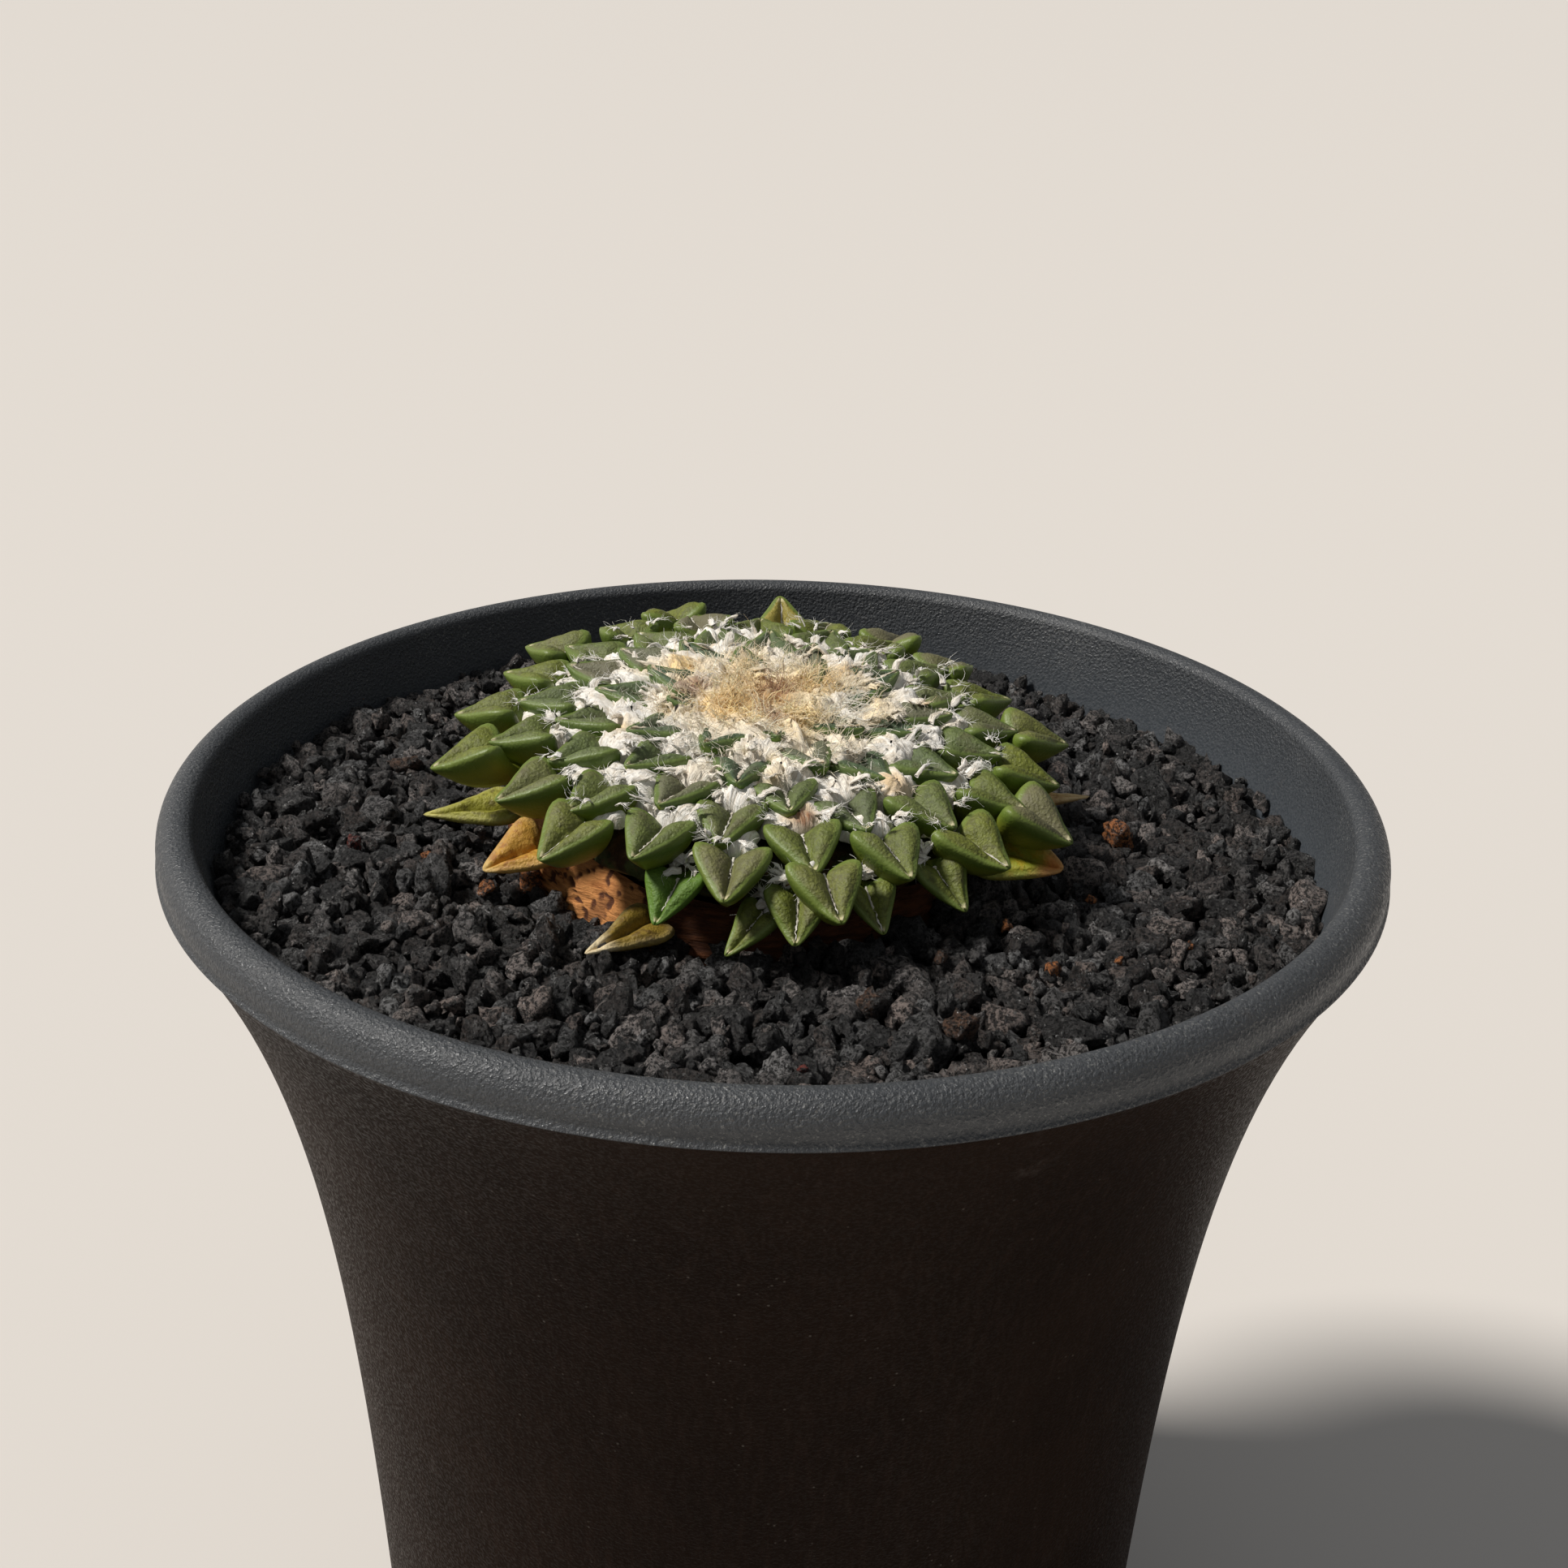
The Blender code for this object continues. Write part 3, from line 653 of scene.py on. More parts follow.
def pot_material(name, specular):
    """Black plastic: moulded grain, dusty scuffs, specks and rim sparkle that are painted glints, a wall
    warmed by a painted floor reflection, and a rim and inside painted bluer as a sky reflection.
    """
    shader = Shader(name, specular=specular)
    rim = shader.mask("rim")
    inner = shader.mask("inner")
    grain = shader.noise(0.28, 2.0)
    streaks = shader.noise(0.55, place=shader.stretched(1.0, 1.0, 0.12))
    cloud = shader.ramp(shader.noise(24.0), 0.3, 0.7)
    # Rim and inside tinted blue as a painted reflection of the sky
    bead = shader.mix(inner, shader.mix(cloud, BEAD_DARK, BEAD_PALE), INNER_SKY_REFLECTION)
    # Wall colour: the plastic's own uneven tone, warmed as a painted floor reflection
    shader.colour = shader.mix(cloud, WALL_BLACK, WALL_BROWN_REFLECTION)
    shader.paint(shader.times(shader.ramp(streaks, 0.45, 0.7), 0.35), WALL_STREAK)
    shader.paint(rim, bead)
    dust = shader.ramp(shader.noise(11.0, 6.0, 0.68), 0.55, 0.74)
    smear = shader.ramp(shader.noise(2.4, 5.0, 0.7), 0.50, 0.72)
    shader.paint(shader.times(shader.times(dust, smear), 0.4), SCUFF)
    # Painted glints: sparse bright specks all over, and sparkle on the rim's outside
    rare = shader.ramp(shader.noise(3.0, 2.0), 0.52, 0.66)
    specks = shader.times(shader.ramp(shader.cells(0.9), 0.16, 0.05), rare)
    shader.paint(shader.times(specks, 0.4), PAINTED_SPECK_GLINT)
    clear = shader.ramp(shader.noise(0.26, 3.0, 0.7), 0.56, 0.66)
    glints = shader.times(clear, shader.ramp(cloud, 0.2, 0.9, 0.3, 1.0))
    sparkle = shader.times(glints, shader.ramp(inner, 0.0, 1.0, 1.0, 0.1))
    shader.paint(shader.times(sparkle, shader.times(rim, 0.6)), PAINTED_RIM_GLINT)
    rough = shader.times(shader.ramp(rim, 0.0, 1.0, 0.35, 1.0), shader.ramp(inner, 0.0, 1.0, 1.0, 0.25))
    shader.emboss(shader.times(grain, rough), 0.20)
    shader.emboss(streaks, 0.02)
    return shader.finish(shader.ramp(grain, 0.40, 0.66, 0.62, 0.32))


def wall_radius(height):
    """Outer radius of the flared wall at a height above the ground."""
    depth = RIM_TOP - PARTING_DROP - height
    return WALL_RADIUS - WALL_TAPER * depth + FLARE * np.exp(-depth / FLARE_LENGTH)


def arc(radius, height, wide, high, start, end, count):
    """Points of a rounded edge about a middle: 0 degrees is its outermost point and 90 its top."""
    angles = np.radians(np.linspace(start, end, count))
    return list(zip(radius + wide * np.cos(angles), height + high * np.sin(angles)))


def pot_profile():
    """The pot's section from the foot's inner edge up the wall, over the bead and down to the floor."""
    foot = wall_radius(0.0)
    parting = RIM_TOP - PARTING_DROP
    lip = wall_radius(parting)
    profile = [(foot - FOOT_WIDTH, FOOT_HEIGHT), (foot - FOOT_WIDTH, 0.0)]
    profile += arc(foot - FOOT_CHAMFER, FOOT_CHAMFER, FOOT_CHAMFER, FOOT_CHAMFER, -90.0, 0.0, 5)
    levels = np.linspace(FOOT_CHAMFER + FOOT_CLEARANCE, parting - PARTING_CLEARANCE, OUTER_ROWS)
    profile += [(wall_radius(level), level) for level in levels]
    profile += [(lip + out, parting + up) for out, up in PARTING_LINE]
    profile += arc(BEAD_CROWN_RADIUS, RIM_TOP - BEAD_SHOULDER_DROP, RIM_RADIUS - BEAD_CROWN_RADIUS,
                   BEAD_SHOULDER_DROP, -20.0, 90.0, 13)
    profile += arc(BEAD_CROWN_RADIUS, RIM_TOP - RIM_INNER_DROP, BEAD_CROWN_RADIUS - RIM_INNER_RADIUS,
                   RIM_INNER_DROP, 105.0, 180.0, 6)
    levels = np.linspace(RIM_TOP - LIP_DEPTH, FOOT_HEIGHT + FLOOR_THICKNESS, INNER_ROWS)
    return profile + [(wall_radius(level) - WALL_THICKNESS, level) for level in levels]


def cut_slots(pot):
    """Cut the drain slots through the pot's floor."""
    group = bpy.data.collections.new("slots")
    bpy.context.scene.collection.children.link(group)
    size = Matrix.Diagonal((DRAIN_LENGTH * MM, DRAIN_WIDTH * MM, 4 * FLOOR_THICKNESS * MM, 1.0))
    for index in range(DRAIN_SLOTS):
        bpy.ops.mesh.primitive_cube_add(size=1.0)
        slot = bpy.context.object
        turn = Matrix.Rotation(TURN * index / DRAIN_SLOTS, 4, "Z")
        slot.data.transform(turn @ Matrix.Translation((DRAIN_RADIUS * MM, 0.0, FOOT_HEIGHT * MM)) @ size)
        bpy.context.scene.collection.objects.unlink(slot)
        group.objects.link(slot)
    cut = pot.modifiers.new("slots", "BOOLEAN")
    cut.operation = "DIFFERENCE"
    cut.operand_type = "COLLECTION"
    cut.collection = group
    opened = bpy.data.meshes.new_from_object(pot.evaluated_get(bpy.context.evaluated_depsgraph_get()))
    pot.modifiers.clear()
    pot.data = opened
    for slot in list(group.objects):
        bpy.data.objects.remove(slot, do_unlink=True)
    bpy.data.collections.remove(group)


def make_pot():
    """Turn the section, close its floor, cut the slots, and make the rim and the inside glossier."""
    profile = pot_profile()
    section, angle = rings(profile, POT_SIDES)
    points = polar(section[:, 0], angle, section[:, 1])
    pot = mesh_piece("pot_shell", points, grid_faces(len(profile), POT_SIDES),
                     pot_material("wall_plastic", WALL_SPECULAR))
    shape = bmesh.new()
    shape.from_mesh(pot.data)
    bmesh.ops.holes_fill(shape, edges=[edge for edge in shape.edges if edge.is_boundary])
    bmesh.ops.recalc_face_normals(shape, faces=shape.faces)
    shape.to_mesh(pot.data)
    shape.free()
    cut_slots(pot)
    places = np.empty(len(pot.data.vertices) * 3, dtype=np.float32)
    pot.data.vertices.foreach_get("co", places)
    x, y, z = places.reshape(-1, 3).T / MM
    inside = np.hypot(x, y) < wall_radius(z) - 0.7 * WALL_THICKNESS
    glossy = inside | (z > RIM_TOP - PARTING_DROP - 0.1)
    add_layer(pot.data, "rim", glossy)
    add_layer(pot.data, "inner", inside & (z < RIM_TOP - 1.2 * RIM_INNER_DROP))
    pot.data.materials.append(pot_material("rim_plastic", RIM_SPECULAR))
    for face in pot.data.polygons:
        face.material_index = int(all(glossy[corner] for corner in face.vertices))
    pot.data.shade_smooth()
    pot.data.set_sharp_from_angle(angle=SHARP_EDGE)
    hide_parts("pot")


def plant_place():
    """The plant's frame, measured from the pot's origin."""
    lean = Matrix.Rotation(LEAN_FRONT, 4, "X") @ Matrix.Rotation(LEAN_RIGHT, 4, "Y")
    return Matrix.Translation((PLANT_X, PLANT_Y, RIM_TOP)) @ lean


def in_plant_frame(points):
    """Move points from the plant's frame to the pot's."""
    place = np.array(plant_place())
    return np.asarray(points) @ place[:3, :3].T + place[:3, 3]


def grit_height(x, y):
    """Height of the grit: hollowed where the neck shows at the front left, banked up round the rest."""
    distance = np.hypot(x - PLANT_X, y - PLANT_Y)
    near = clamped((FAR_RADIUS - distance) / (FAR_RADIUS - NEAR_RADIUS))
    facing = np.cos(np.arctan2(y - PLANT_Y, x - PLANT_X) - GRIT_HOLLOW_AZIMUTH)
    hollow = ((1.0 + facing) / 2) ** GRIT_HOLLOW_SHARPNESS
    shift = GRIT_BANK - (GRIT_BANK + GRIT_HOLLOW) * hollow
    return GRIT_LEVEL + GRIT_SLOPE_X * x + GRIT_SLOPE_Y * y + near * shift


def stone_material():
    """Porous lava: pitted, crumbly and matt, with painted shade in the low hollows between its crumbs and in
    its pits, and tiny painted glints on its facets.
    """
    shader = Shader("lava_grit", specular=0.5)
    tint = shader.mask("tint", "Color")
    pits = shader.cells(0.46)
    crumbs = shader.noise(0.42, 6.0, 0.80)
    facets = shader.cells(0.20, "Color")
    # Nearly black wherever the crumbs' relief is low: painted shade in the hollows
    shader.colour = shader.mix(0.94, tint, STONE_GAP_SHADE)
    shader.paint(shader.ramp(crumbs, 0.45, 0.55), tint)
    # Painted shade in the pits
    shader.paint(shader.ramp(pits, 0.30, 0.14, 0.0, 0.9), STONE_PIT_SHADE)
    # Painted glints on some facets
    shader.paint(shader.ramp(facets, 0.80, 0.95, 0.0, 0.5), STONE_PAINTED_GLINT)
    shader.emboss(shader.ramp(pits, 0.05, 0.4), 0.32)
    shader.emboss(crumbs, 0.75)
    return shader.finish(shader.ramp(facets, 0.35, 0.9, 0.52, 0.20))


def dome(count, lowest=-0.5):
    """Even directions over a sphere down to a lowest height, and the triangles between them."""
    turns = np.arange(count)
    height = 1.0 - 2.0 * (turns + 0.5) / count
    ways = polar(np.sqrt(1.0 - height ** 2), turns * math.pi * (3.0 - math.sqrt(5.0)), height)
    shape = bmesh.new()
    for way in ways:
        shape.verts.new(way)
    bmesh.ops.convex_hull(shape, input=shape.verts)
    shape.verts.index_update()
    faces = []
    for face in shape.faces:
        corners = [vertex.index for vertex in face.verts]
        middle = face.calc_center_median()
        if middle.z > lowest:
            faces.append(corners if face.normal.dot(middle) > 0 else corners[::-1])
    shape.free()
    used = sorted({index for face in faces for index in face})
    renumber = {index: number for number, index in enumerate(used)}
    return ways[used], np.array([[renumber[index] for index in face] for face in faces])


def make_stones(name, spots, sizes, colours, kind):
    """Angular lumps: a dome cut flat by random planes, then roughened, at each spot."""
    fineness, seed, roughness = kind
    rng = np.random.default_rng(seed)
    ways, faces = dome(fineness)
    points = []
    for spot, size in zip(spots, sizes):
        normals = unit(rng.normal(size=(STONE_CUTS, 3)))
        distances = rng.uniform(*CUT_DISTANCES, STONE_CUTS)
        facing = np.maximum(ways @ normals.T, 0.06)
        reach = np.minimum(np.min(distances / facing, axis=1), CUT_REACH)
        offset = rng.uniform(-500.0, 500.0, 3)
        reach = reach * (1.0 + roughness * fractal(ways + offset, STONE_LUMPS, 3, 4))
        stretch = rng.uniform(*STONE_STRETCH, 3)
        turn = np.array(Matrix.Rotation(rng.uniform(0.0, TURN), 3, "Z"))
        points.append((ways * reach[:, None] * stretch) @ turn.T * size + spot)
    faces = copies(faces, len(spots), len(ways))
    return mesh_piece(name, np.vstack(points), faces, stone_material(),
                      colours=np.repeat(colours, len(ways), axis=0), smooth=False)


def lava_colours(rng, count):
    """Black to dark grey stones, most of them dark and some of them warmer."""
    grey = LAVA_DARKEST + LAVA_RANGE * rng.uniform(0.0, 1.0, count) ** LAVA_RARITY
    warm = rng.uniform(0.0, 1.0, count) ** 1.5
    return grey[:, None] * (1.0 + warm[:, None] * LAVA_WARMTH)


def inner_radius(height):
    """Radius of the pot's inside at a height."""
    lip = RIM_TOP - LIP_DEPTH
    share = (height - lip) / (RIM_TOP - RIM_INNER_DROP - lip)
    return (wall_radius(lip) - WALL_THICKNESS) * (1.0 - share) + RIM_INNER_RADIUS * share


def scatter(rng, sizes):
    """Random spots on the grit for stones, the largest first, none much inside another."""
    cell = 5.0
    about = (-1, 0, 1)
    taken = {}
    kept = []
    outer = inner_radius(GRIT_LEVEL)
    for size in sorted(sizes, reverse=True):
        for _ in range(STONE_TRIES):
            radius = (outer - 0.85 * size) * math.sqrt(rng.uniform(0.0, 1.0))
            angle = rng.uniform(0.0, TURN)
            x = radius * math.cos(angle)
            y = radius * math.sin(angle)
            if math.hypot(x - PLANT_X, y - PLANT_Y) < STONE_CLEARANCE + 0.5 * size:
                continue
            column = int(x // cell)
            row = int(y // cell)
            near = [other for i in about for j in about for other in taken.get((column + i, row + j), ())]
            if all(math.hypot(x - a, y - b) > STONE_CLOSENESS * (size + c) for a, b, c in near):
                taken.setdefault((column, row), []).append((x, y, size))
                kept.append((x, y, size))
                break
    return np.array(kept).T


def make_grit():
    """A bed painted near black as the shade between the stones, stones of several sizes over it, crumbs
    between and on them, and a few odd grains.
    """
    rng = np.random.default_rng(101)
    outer = inner_radius(GRIT_LEVEL)
    radius, angle = rings(np.linspace(BED_START, outer + 0.2, BED_ROWS), BED_SIDES)
    bed = polar(radius, angle, 0.0)
    bed[:, 2] = grit_height(bed[:, 0], bed[:, 1]) - BED_DEPTH + BED_ROUGHNESS * fractal(bed, 1.6, 41, 3)
    # The bed's near black is painted shade between the stones
    piece = mesh_piece("grit_bed", bed, grid_faces(BED_ROWS, BED_SIDES), stone_material(),
                       colours=np.full(bed.shape, BED_SHADE))
    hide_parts("grit")

    sizes = np.clip(rng.lognormal(*STONE_SPREAD, STONES_TRIED), *STONE_LIMITS)
    x, y, sizes = scatter(rng, sizes)
    z = grit_height(x, y) - STONE_SINK * sizes + rng.uniform(*STONE_LEVEL, len(x))
    spots = np.column_stack((x, y, z))
    make_stones("grit_stones", spots, sizes, lava_colours(rng, len(x)), STONE_KIND)

    radius = (outer - 0.6) * np.sqrt(rng.uniform(0.0, 1.0, CRUMBS_TRIED))
    x, y = polar(radius, rng.uniform(0.0, TURN, CRUMBS_TRIED), 0.0)[:, :2].T
    clear = np.hypot(x - PLANT_X, y - PLANT_Y) > CRUMB_CLEARANCE
    x = x[clear]
    y = y[clear]
    spots = np.column_stack((x, y, grit_height(x, y) + rng.uniform(*CRUMB_LEVEL, len(x))))
    sizes = rng.uniform(*CRUMB_LIMITS, len(x))
    make_stones("grit_crumbs", spots, sizes, lava_colours(rng, len(x)), CRUMB_KIND)

    x, y, sizes = np.array([grain[:3] for grain in ODD_GRAINS]).T
    spots = np.column_stack((x, y, grit_height(x, y) + ODD_LEVEL - ODD_SINK * sizes))
    make_stones("grit_rusty_grains", spots, sizes, np.array([grain[3] for grain in ODD_GRAINS]), ODD_KIND)


def either_way(dice, most):
    """A random number that is at most so large, to either side of zero."""
    return dice.uniform(-most, most)


def heading(azimuth, slope):
    """Unit vector at an azimuth about Z and a slope above the horizontal."""
    level = math.cos(slope)
    return Vector((math.cos(azimuth) * level, math.sin(azimuth) * level, math.sin(slope)))


class Tubercle:
    """One tubercle: where it stands, how large it is, and the small ways in which it differs."""

    def __init__(self, tip, azimuth, slope, size, outline, reach, seed, roll, bend, lift, uneven):
        out = heading(azimuth, slope)
        side = Vector((-math.sin(azimuth), math.cos(azimuth), 0.0))
        side.rotate(Matrix.Rotation(roll, 3, out))
        self.tip = np.array(tip)
        self.out = np.array(out)
        self.side = np.array(side)
        self.up = np.array(out.cross(side))
        self.length, self.width, self.depth = size
        self.reach = reach
        self.seed = seed
        self.bend = bend
        self.lift = lift
        self.uneven = uneven
        self.rim = smooth_path(outline, SKIN_ROWS + 1)[1:]
        widest = int(np.argmax(self.rim[:, 1]))
        self.front = np.vstack(((0.0, 0.0), self.rim[:widest + 1]))
        self.notch = outline[-1][0] * self.length

    def place(self, back, across, rise):
        """Points that far back from the tip, across and above its level, with the tubercle's own bend."""
        forward = clamped(1.0 - back / self.length) ** 2
        moves = (back, across + self.bend * forward, rise + self.lift * forward)
        back, across, rise = (np.asarray(move)[..., None] for move in moves)
        return self.tip - back * self.out + across * self.side + rise * self.up

    def lobe(self, back, across):
        """Level of the two lobes: highest at the shoulders, and sloping down to the groove between them."""
        half = np.interp(back / self.length, self.front[:, 0], self.front[:, 1]) * self.width / 2
        return SHOULDER_RISE * half - GROOVE_SLOPE * np.maximum(half - across, 0.0)


def spiral_tubercles():
    """The tubercles of the spiral, from the crown outward, as in the model."""
    dice = random.Random(SPROUT_SEED)
    habit = random.Random(77)
    place = plant_place()
    lean = place.to_3x3()
    for index in range(TUBERCLES):
        share = (index + HIDDEN_TUBERCLES) / (TUBERCLES - 1 + HIDDEN_TUBERCLES)
        reach = share ** SPREAD_POWER
        radius = TIP_RADIUS * reach + either_way(dice, TIP_SHIFT)
        azimuth = FIRST_AZIMUTH + DIVERGENCE * index + either_way(dice, AZIMUTH_SHIFT)
        height = CROWN_TIP_HEIGHT - TIP_FALL * reach ** 2
        tip = place @ Vector((radius * math.cos(azimuth), radius * math.sin(azimuth), height))
        slope = CROWN_SLOPE - SLOPE_FALL * reach ** SLOPE_POWER + either_way(dice, SLOPE_SHIFT)
        depth = CROWN_DEPTH + DEPTH_GAIN * reach
        if index == UPRIGHT_TUBERCLE:
            slope += UPRIGHT_SLOPE
            tip += Vector(UPRIGHT_SHIFT)
            depth *= UPRIGHT_DEPTH
        out = lean @ heading(azimuth, math.radians(slope))
        length = (CROWN_LENGTH + LENGTH_GAIN * reach) * habit.uniform(*LENGTH_HABIT)
        width = (CROWN_WIDTH + WIDTH_GAIN * reach) * habit.uniform(*WIDTH_HABIT)
        size = (length, width, depth)
        yield Tubercle(tip, math.atan2(out.y, out.x), math.asin(out.z), size, HEART, reach, index,
                       roll=math.radians(either_way(habit, ROLL_HABIT)), bend=either_way(habit, BEND_HABIT),
                       lift=habit.uniform(*LIFT_HABIT), uneven=either_way(habit, UNEVEN_HABIT))


def low_tubercles():
    """The tubercles under the edge of the spiral."""
    habit = random.Random(78)
    for number, ((x, y, z), azimuth, slope, length, width) in enumerate(LOW_TUBERCLES, start=100):
        yield Tubercle((x, y, RIM_TOP + z), math.radians(azimuth), math.radians(slope),
                       (length, width, LOW_DEPTH), HEART, 1.0, number,
                       roll=math.radians(either_way(habit, LOW_ROLL_HABIT)),
                       bend=either_way(habit, BEND_HABIT), lift=LOW_LIFT,
                       uneven=either_way(habit, LOW_UNEVEN_HABIT))


def skin_columns(shape):
    """One half of a tubercle's rings, from the keel up the flank, over the edge and into the groove.

    Each column has a point for every row, as its way back, across and up, and its top, edge and down masks.
    """
    length = shape.length
    travel = np.arange(1, SKIN_ROWS + 1) / SKIN_ROWS
    rim_back = shape.rim[:, 0] * length
    rim_across = shape.rim[:, 1] * shape.width / 2
    line_back = GROOVE_START * length + (shape.notch - GROOVE_START * length) * travel ** 0.9
    inward = np.stack((line_back - rim_back, -rim_across), axis=1)
    span = np.maximum(np.linalg.norm(inward, axis=1), 0.02)
    inward /= span[:, None]
    rounding = np.minimum(EDGE_RADIUS, 0.42 * span)
    edge_level = shape.lobe(rim_back, rim_across) - rounding
    keel_share = KEEL_START + (KEEL_END - KEEL_START) * travel ** 1.1
    keel_level = -shape.depth * (1.0 - np.exp(-KEEL_RISE * keel_share))
    keel_level = np.minimum(keel_level, edge_level - 0.05)
    for drop in FLANK_STEPS:
        back = rim_back + (keel_share * length - rim_back) * drop ** 1.4
        across = rim_across * (1.0 - drop ** 1.4) ** 0.7
        yield back, across, edge_level + (keel_level - edge_level) * drop ** 0.95, (0.0, 0.0, drop)
    for turn in EDGE_TURNS:
        angle = math.radians(turn)
        offset = rounding * (1.0 - math.cos(angle))
        back = rim_back + inward[:, 0] * offset
        across = rim_across + inward[:, 1] * offset
        rise = shape.lobe(back, across) - rounding * (1.0 - math.sin(angle))
        yield back, across, rise, (turn / 120.0, 1.0 - abs(turn - 45.0) / 75.0, 0.0)
    for share in TOP_STEPS:
        offset = rounding + (span - rounding) * share
        back = rim_back + inward[:, 0] * offset
        across = rim_across + inward[:, 1] * offset
        crease = CREASE_DEPTH * clamped(1.0 - (span - offset) / CREASE_WIDTH) * np.minimum(line_back, 1.0)
        swell = LOBE_SWELL * span / 3.0 * 4.0 * share * (1.0 - share)
        yield back, across, shape.lobe(back, across) + swell - crease, (1.0, 0.0, 0.0)


def skin(shape, wrinkle):
    """Points and masks of a tubercle's skin: rings one after the other from its tip to its root.

    Each ring goes from the keel up the left flank, across the two lobes with the groove between them, and
    down the right flank.
    """
    columns = list(skin_columns(shape))
    half = len(columns)
    points = []
    masks = {"top": [], "edge": [], "down": [], "along": []}
    for number, (back, across, rise, shares) in enumerate(columns + columns[-2:0:-1]):
        hand = 1.0 if number < half else -1.0
        points.append(shape.place(back, hand * across * (1.0 + hand * shape.uneven), rise))
        for name, value in zip(("top", "edge", "down"), shares):
            masks[name].append(np.full(SKIN_ROWS, value))
        masks["along"].append(back / shape.length)
    points = np.stack(points, axis=1).reshape(-1, 3)
    masks = {name: np.stack(values, axis=1).ravel() for name, values in masks.items()}
    lumps = fractal(points + 11.0 * shape.seed, 1.3, 5, 3) * (0.35 + 0.65 * masks["top"])
    points = points + (wrinkle * lumps * np.clip(masks["along"] * 4.0, 0.15, 1.0))[:, None] * shape.up
    crown = shape.place(0.0, 0.0, -0.08)
    root = points.reshape(SKIN_ROWS, -1, 3)[-1].mean(axis=0)
    ends = {"top": (0.3, 0.0), "edge": (1.0, 0.0), "down": (0.0, 1.0), "along": (0.0, KEEL_END)}
    masks = {name: np.concatenate((values, ends[name])) for name, values in masks.items()}
    return np.vstack((points, crown, root)), masks


def skin_faces():
    """Triangles of one skin: the rings, the cap at the tip and the cap at the root."""
    around = 2 * (len(FLANK_STEPS) + len(EDGE_TURNS) + len(TOP_STEPS)) - 2
    quads = grid_faces(SKIN_ROWS, around)[:, ::-1]
    crown = SKIN_ROWS * around
    last = crown - around
    step = np.arange(around)
    after = (step + 1) % around
    tip_cap = np.stack((np.full(around, crown), step, after), axis=1)
    root_cap = np.stack((np.full(around, crown + 1), last + after, last + step), axis=1)
    return np.vstack((quads[:, :3], quads[:, (0, 2, 3)], tip_cap, root_cap))


def join_skins(name, shapes, tones, wrinkle, material):
    """One piece of one or many tubercles, each with tones of its own."""
    points = []
    masks = {}
    for shape, tone in zip(shapes, tones):
        skin_points, skin_masks = skin(shape, wrinkle)
        skin_masks.update({mask: np.full(len(skin_points), value) for mask, value in tone.items()})
        for mask, values in skin_masks.items():
            masks.setdefault(mask, []).append(values)
        points.append(skin_points)
    masks = {mask: np.concatenate(values) for mask, values in masks.items()}
    faces = copies(skin_faces(), len(points), len(points[0]))
    return mesh_piece(name, np.vstack(points), faces, material, masks=masks)


def skin_material():
    """Waxy plant skin: finely mottled lobes, smooth flanks that turn yellower downward and brighter there as
    a painted glow of light through the skin, and edges paled as a painted highlight.
    """
    shader = Shader("plant_skin", specular=0.38)
    top = shader.mask("top")
    tone = shader.mask("tone")
    grains = shader.cells(0.26)
    shader.colour = shader.mix(tone, *LOBE)
    shader.paint(shader.ramp(shader.noise(0.55), 0.38, 0.68), shader.mix(tone, *LOBE_MOTTLE))
    shader.paint(shader.ramp(grains, 0.30, 0.55, 0.0, 0.20), SKIN_GRAIN)
    shader.paint(shader.ramp(shader.noise(2.2, 2.0), 0.50, 0.72, 0.0, 0.35), SKIN_PATCH)
    shader.paint(shader.mask("brown"), SKIN_BROWN)
    shader.paint(shader.mask("golden"), SKIN_GOLDEN)
    lobes = shader.colour
    shader.colour = shader.mix(tone, *FLANK)
    # Yellower toward the keel, and brighter there as a painted glow of light through the skin
    shader.paint(shader.ramp(shader.mask("down"), 0.0, 0.5), shader.mix(tone, *LOW_FLANK))
    shader.paint(shader.ramp(shader.cells(0.42), 0.20, 0.08, 0.0, 0.30), SKIN_DOT)
    shader.paint(shader.ramp(top, 0.55, 0.95), lobes)
    # Painted highlight along the rounded edges
    shader.paint(shader.times(shader.mask("edge"), 0.34), SKIN_EDGE_HIGHLIGHT)
    shader.paint(shader.mask("fresh"), shader.mix(0.70, shader.colour, SKIN_FRESH))
    tip = shader.ramp(shader.mask("along"), 0.16, 0.07, 0.0, 0.8)
    shader.paint(shader.times(tip, shader.ramp(top, 0.8, 1.0)), SKIN_TIP)
    rough_top = shader.ramp(top, 0.4, 1.0, 0.35, 1.0)
    shader.emboss(shader.times(shader.noise(0.30, 4.0, 0.6), rough_top), 0.13)
    shader.emboss(shader.times(grains, rough_top), 0.05)
    return shader.finish(shader.ramp(top, 0.3, 1.0, 0.44, 0.54))


def make_living_tubercles():
    """The green tubercles of the spiral and the low ones under its edge."""
    dice = random.Random(79)
    shapes = list(spiral_tubercles())
    tones = []
    for shape in shapes:
        tone = min(1.0, max(0.0, (shape.reach - 0.45) / 0.5 + dice.uniform(-0.15, 0.15)))
        golden = 0.6 if shape.seed == UPRIGHT_TUBERCLE else 0.0
        tones.append({"tone": tone, "fresh": 0.0, "brown": 0.8 * dice.random() ** 4, "golden": golden})
    for number, shape in enumerate(low_tubercles()):
        fresh = 0.9 if number == BRIGHT_LOW_TUBERCLE else 0.0
        shapes.append(shape)
        tones.append({"tone": 0.9, "fresh": fresh, "brown": 0.0, "golden": 0.0})
    piece = join_skins("living_tubercles", shapes, tones, LIVING_WRINKLE, skin_material())
    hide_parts("rosette")


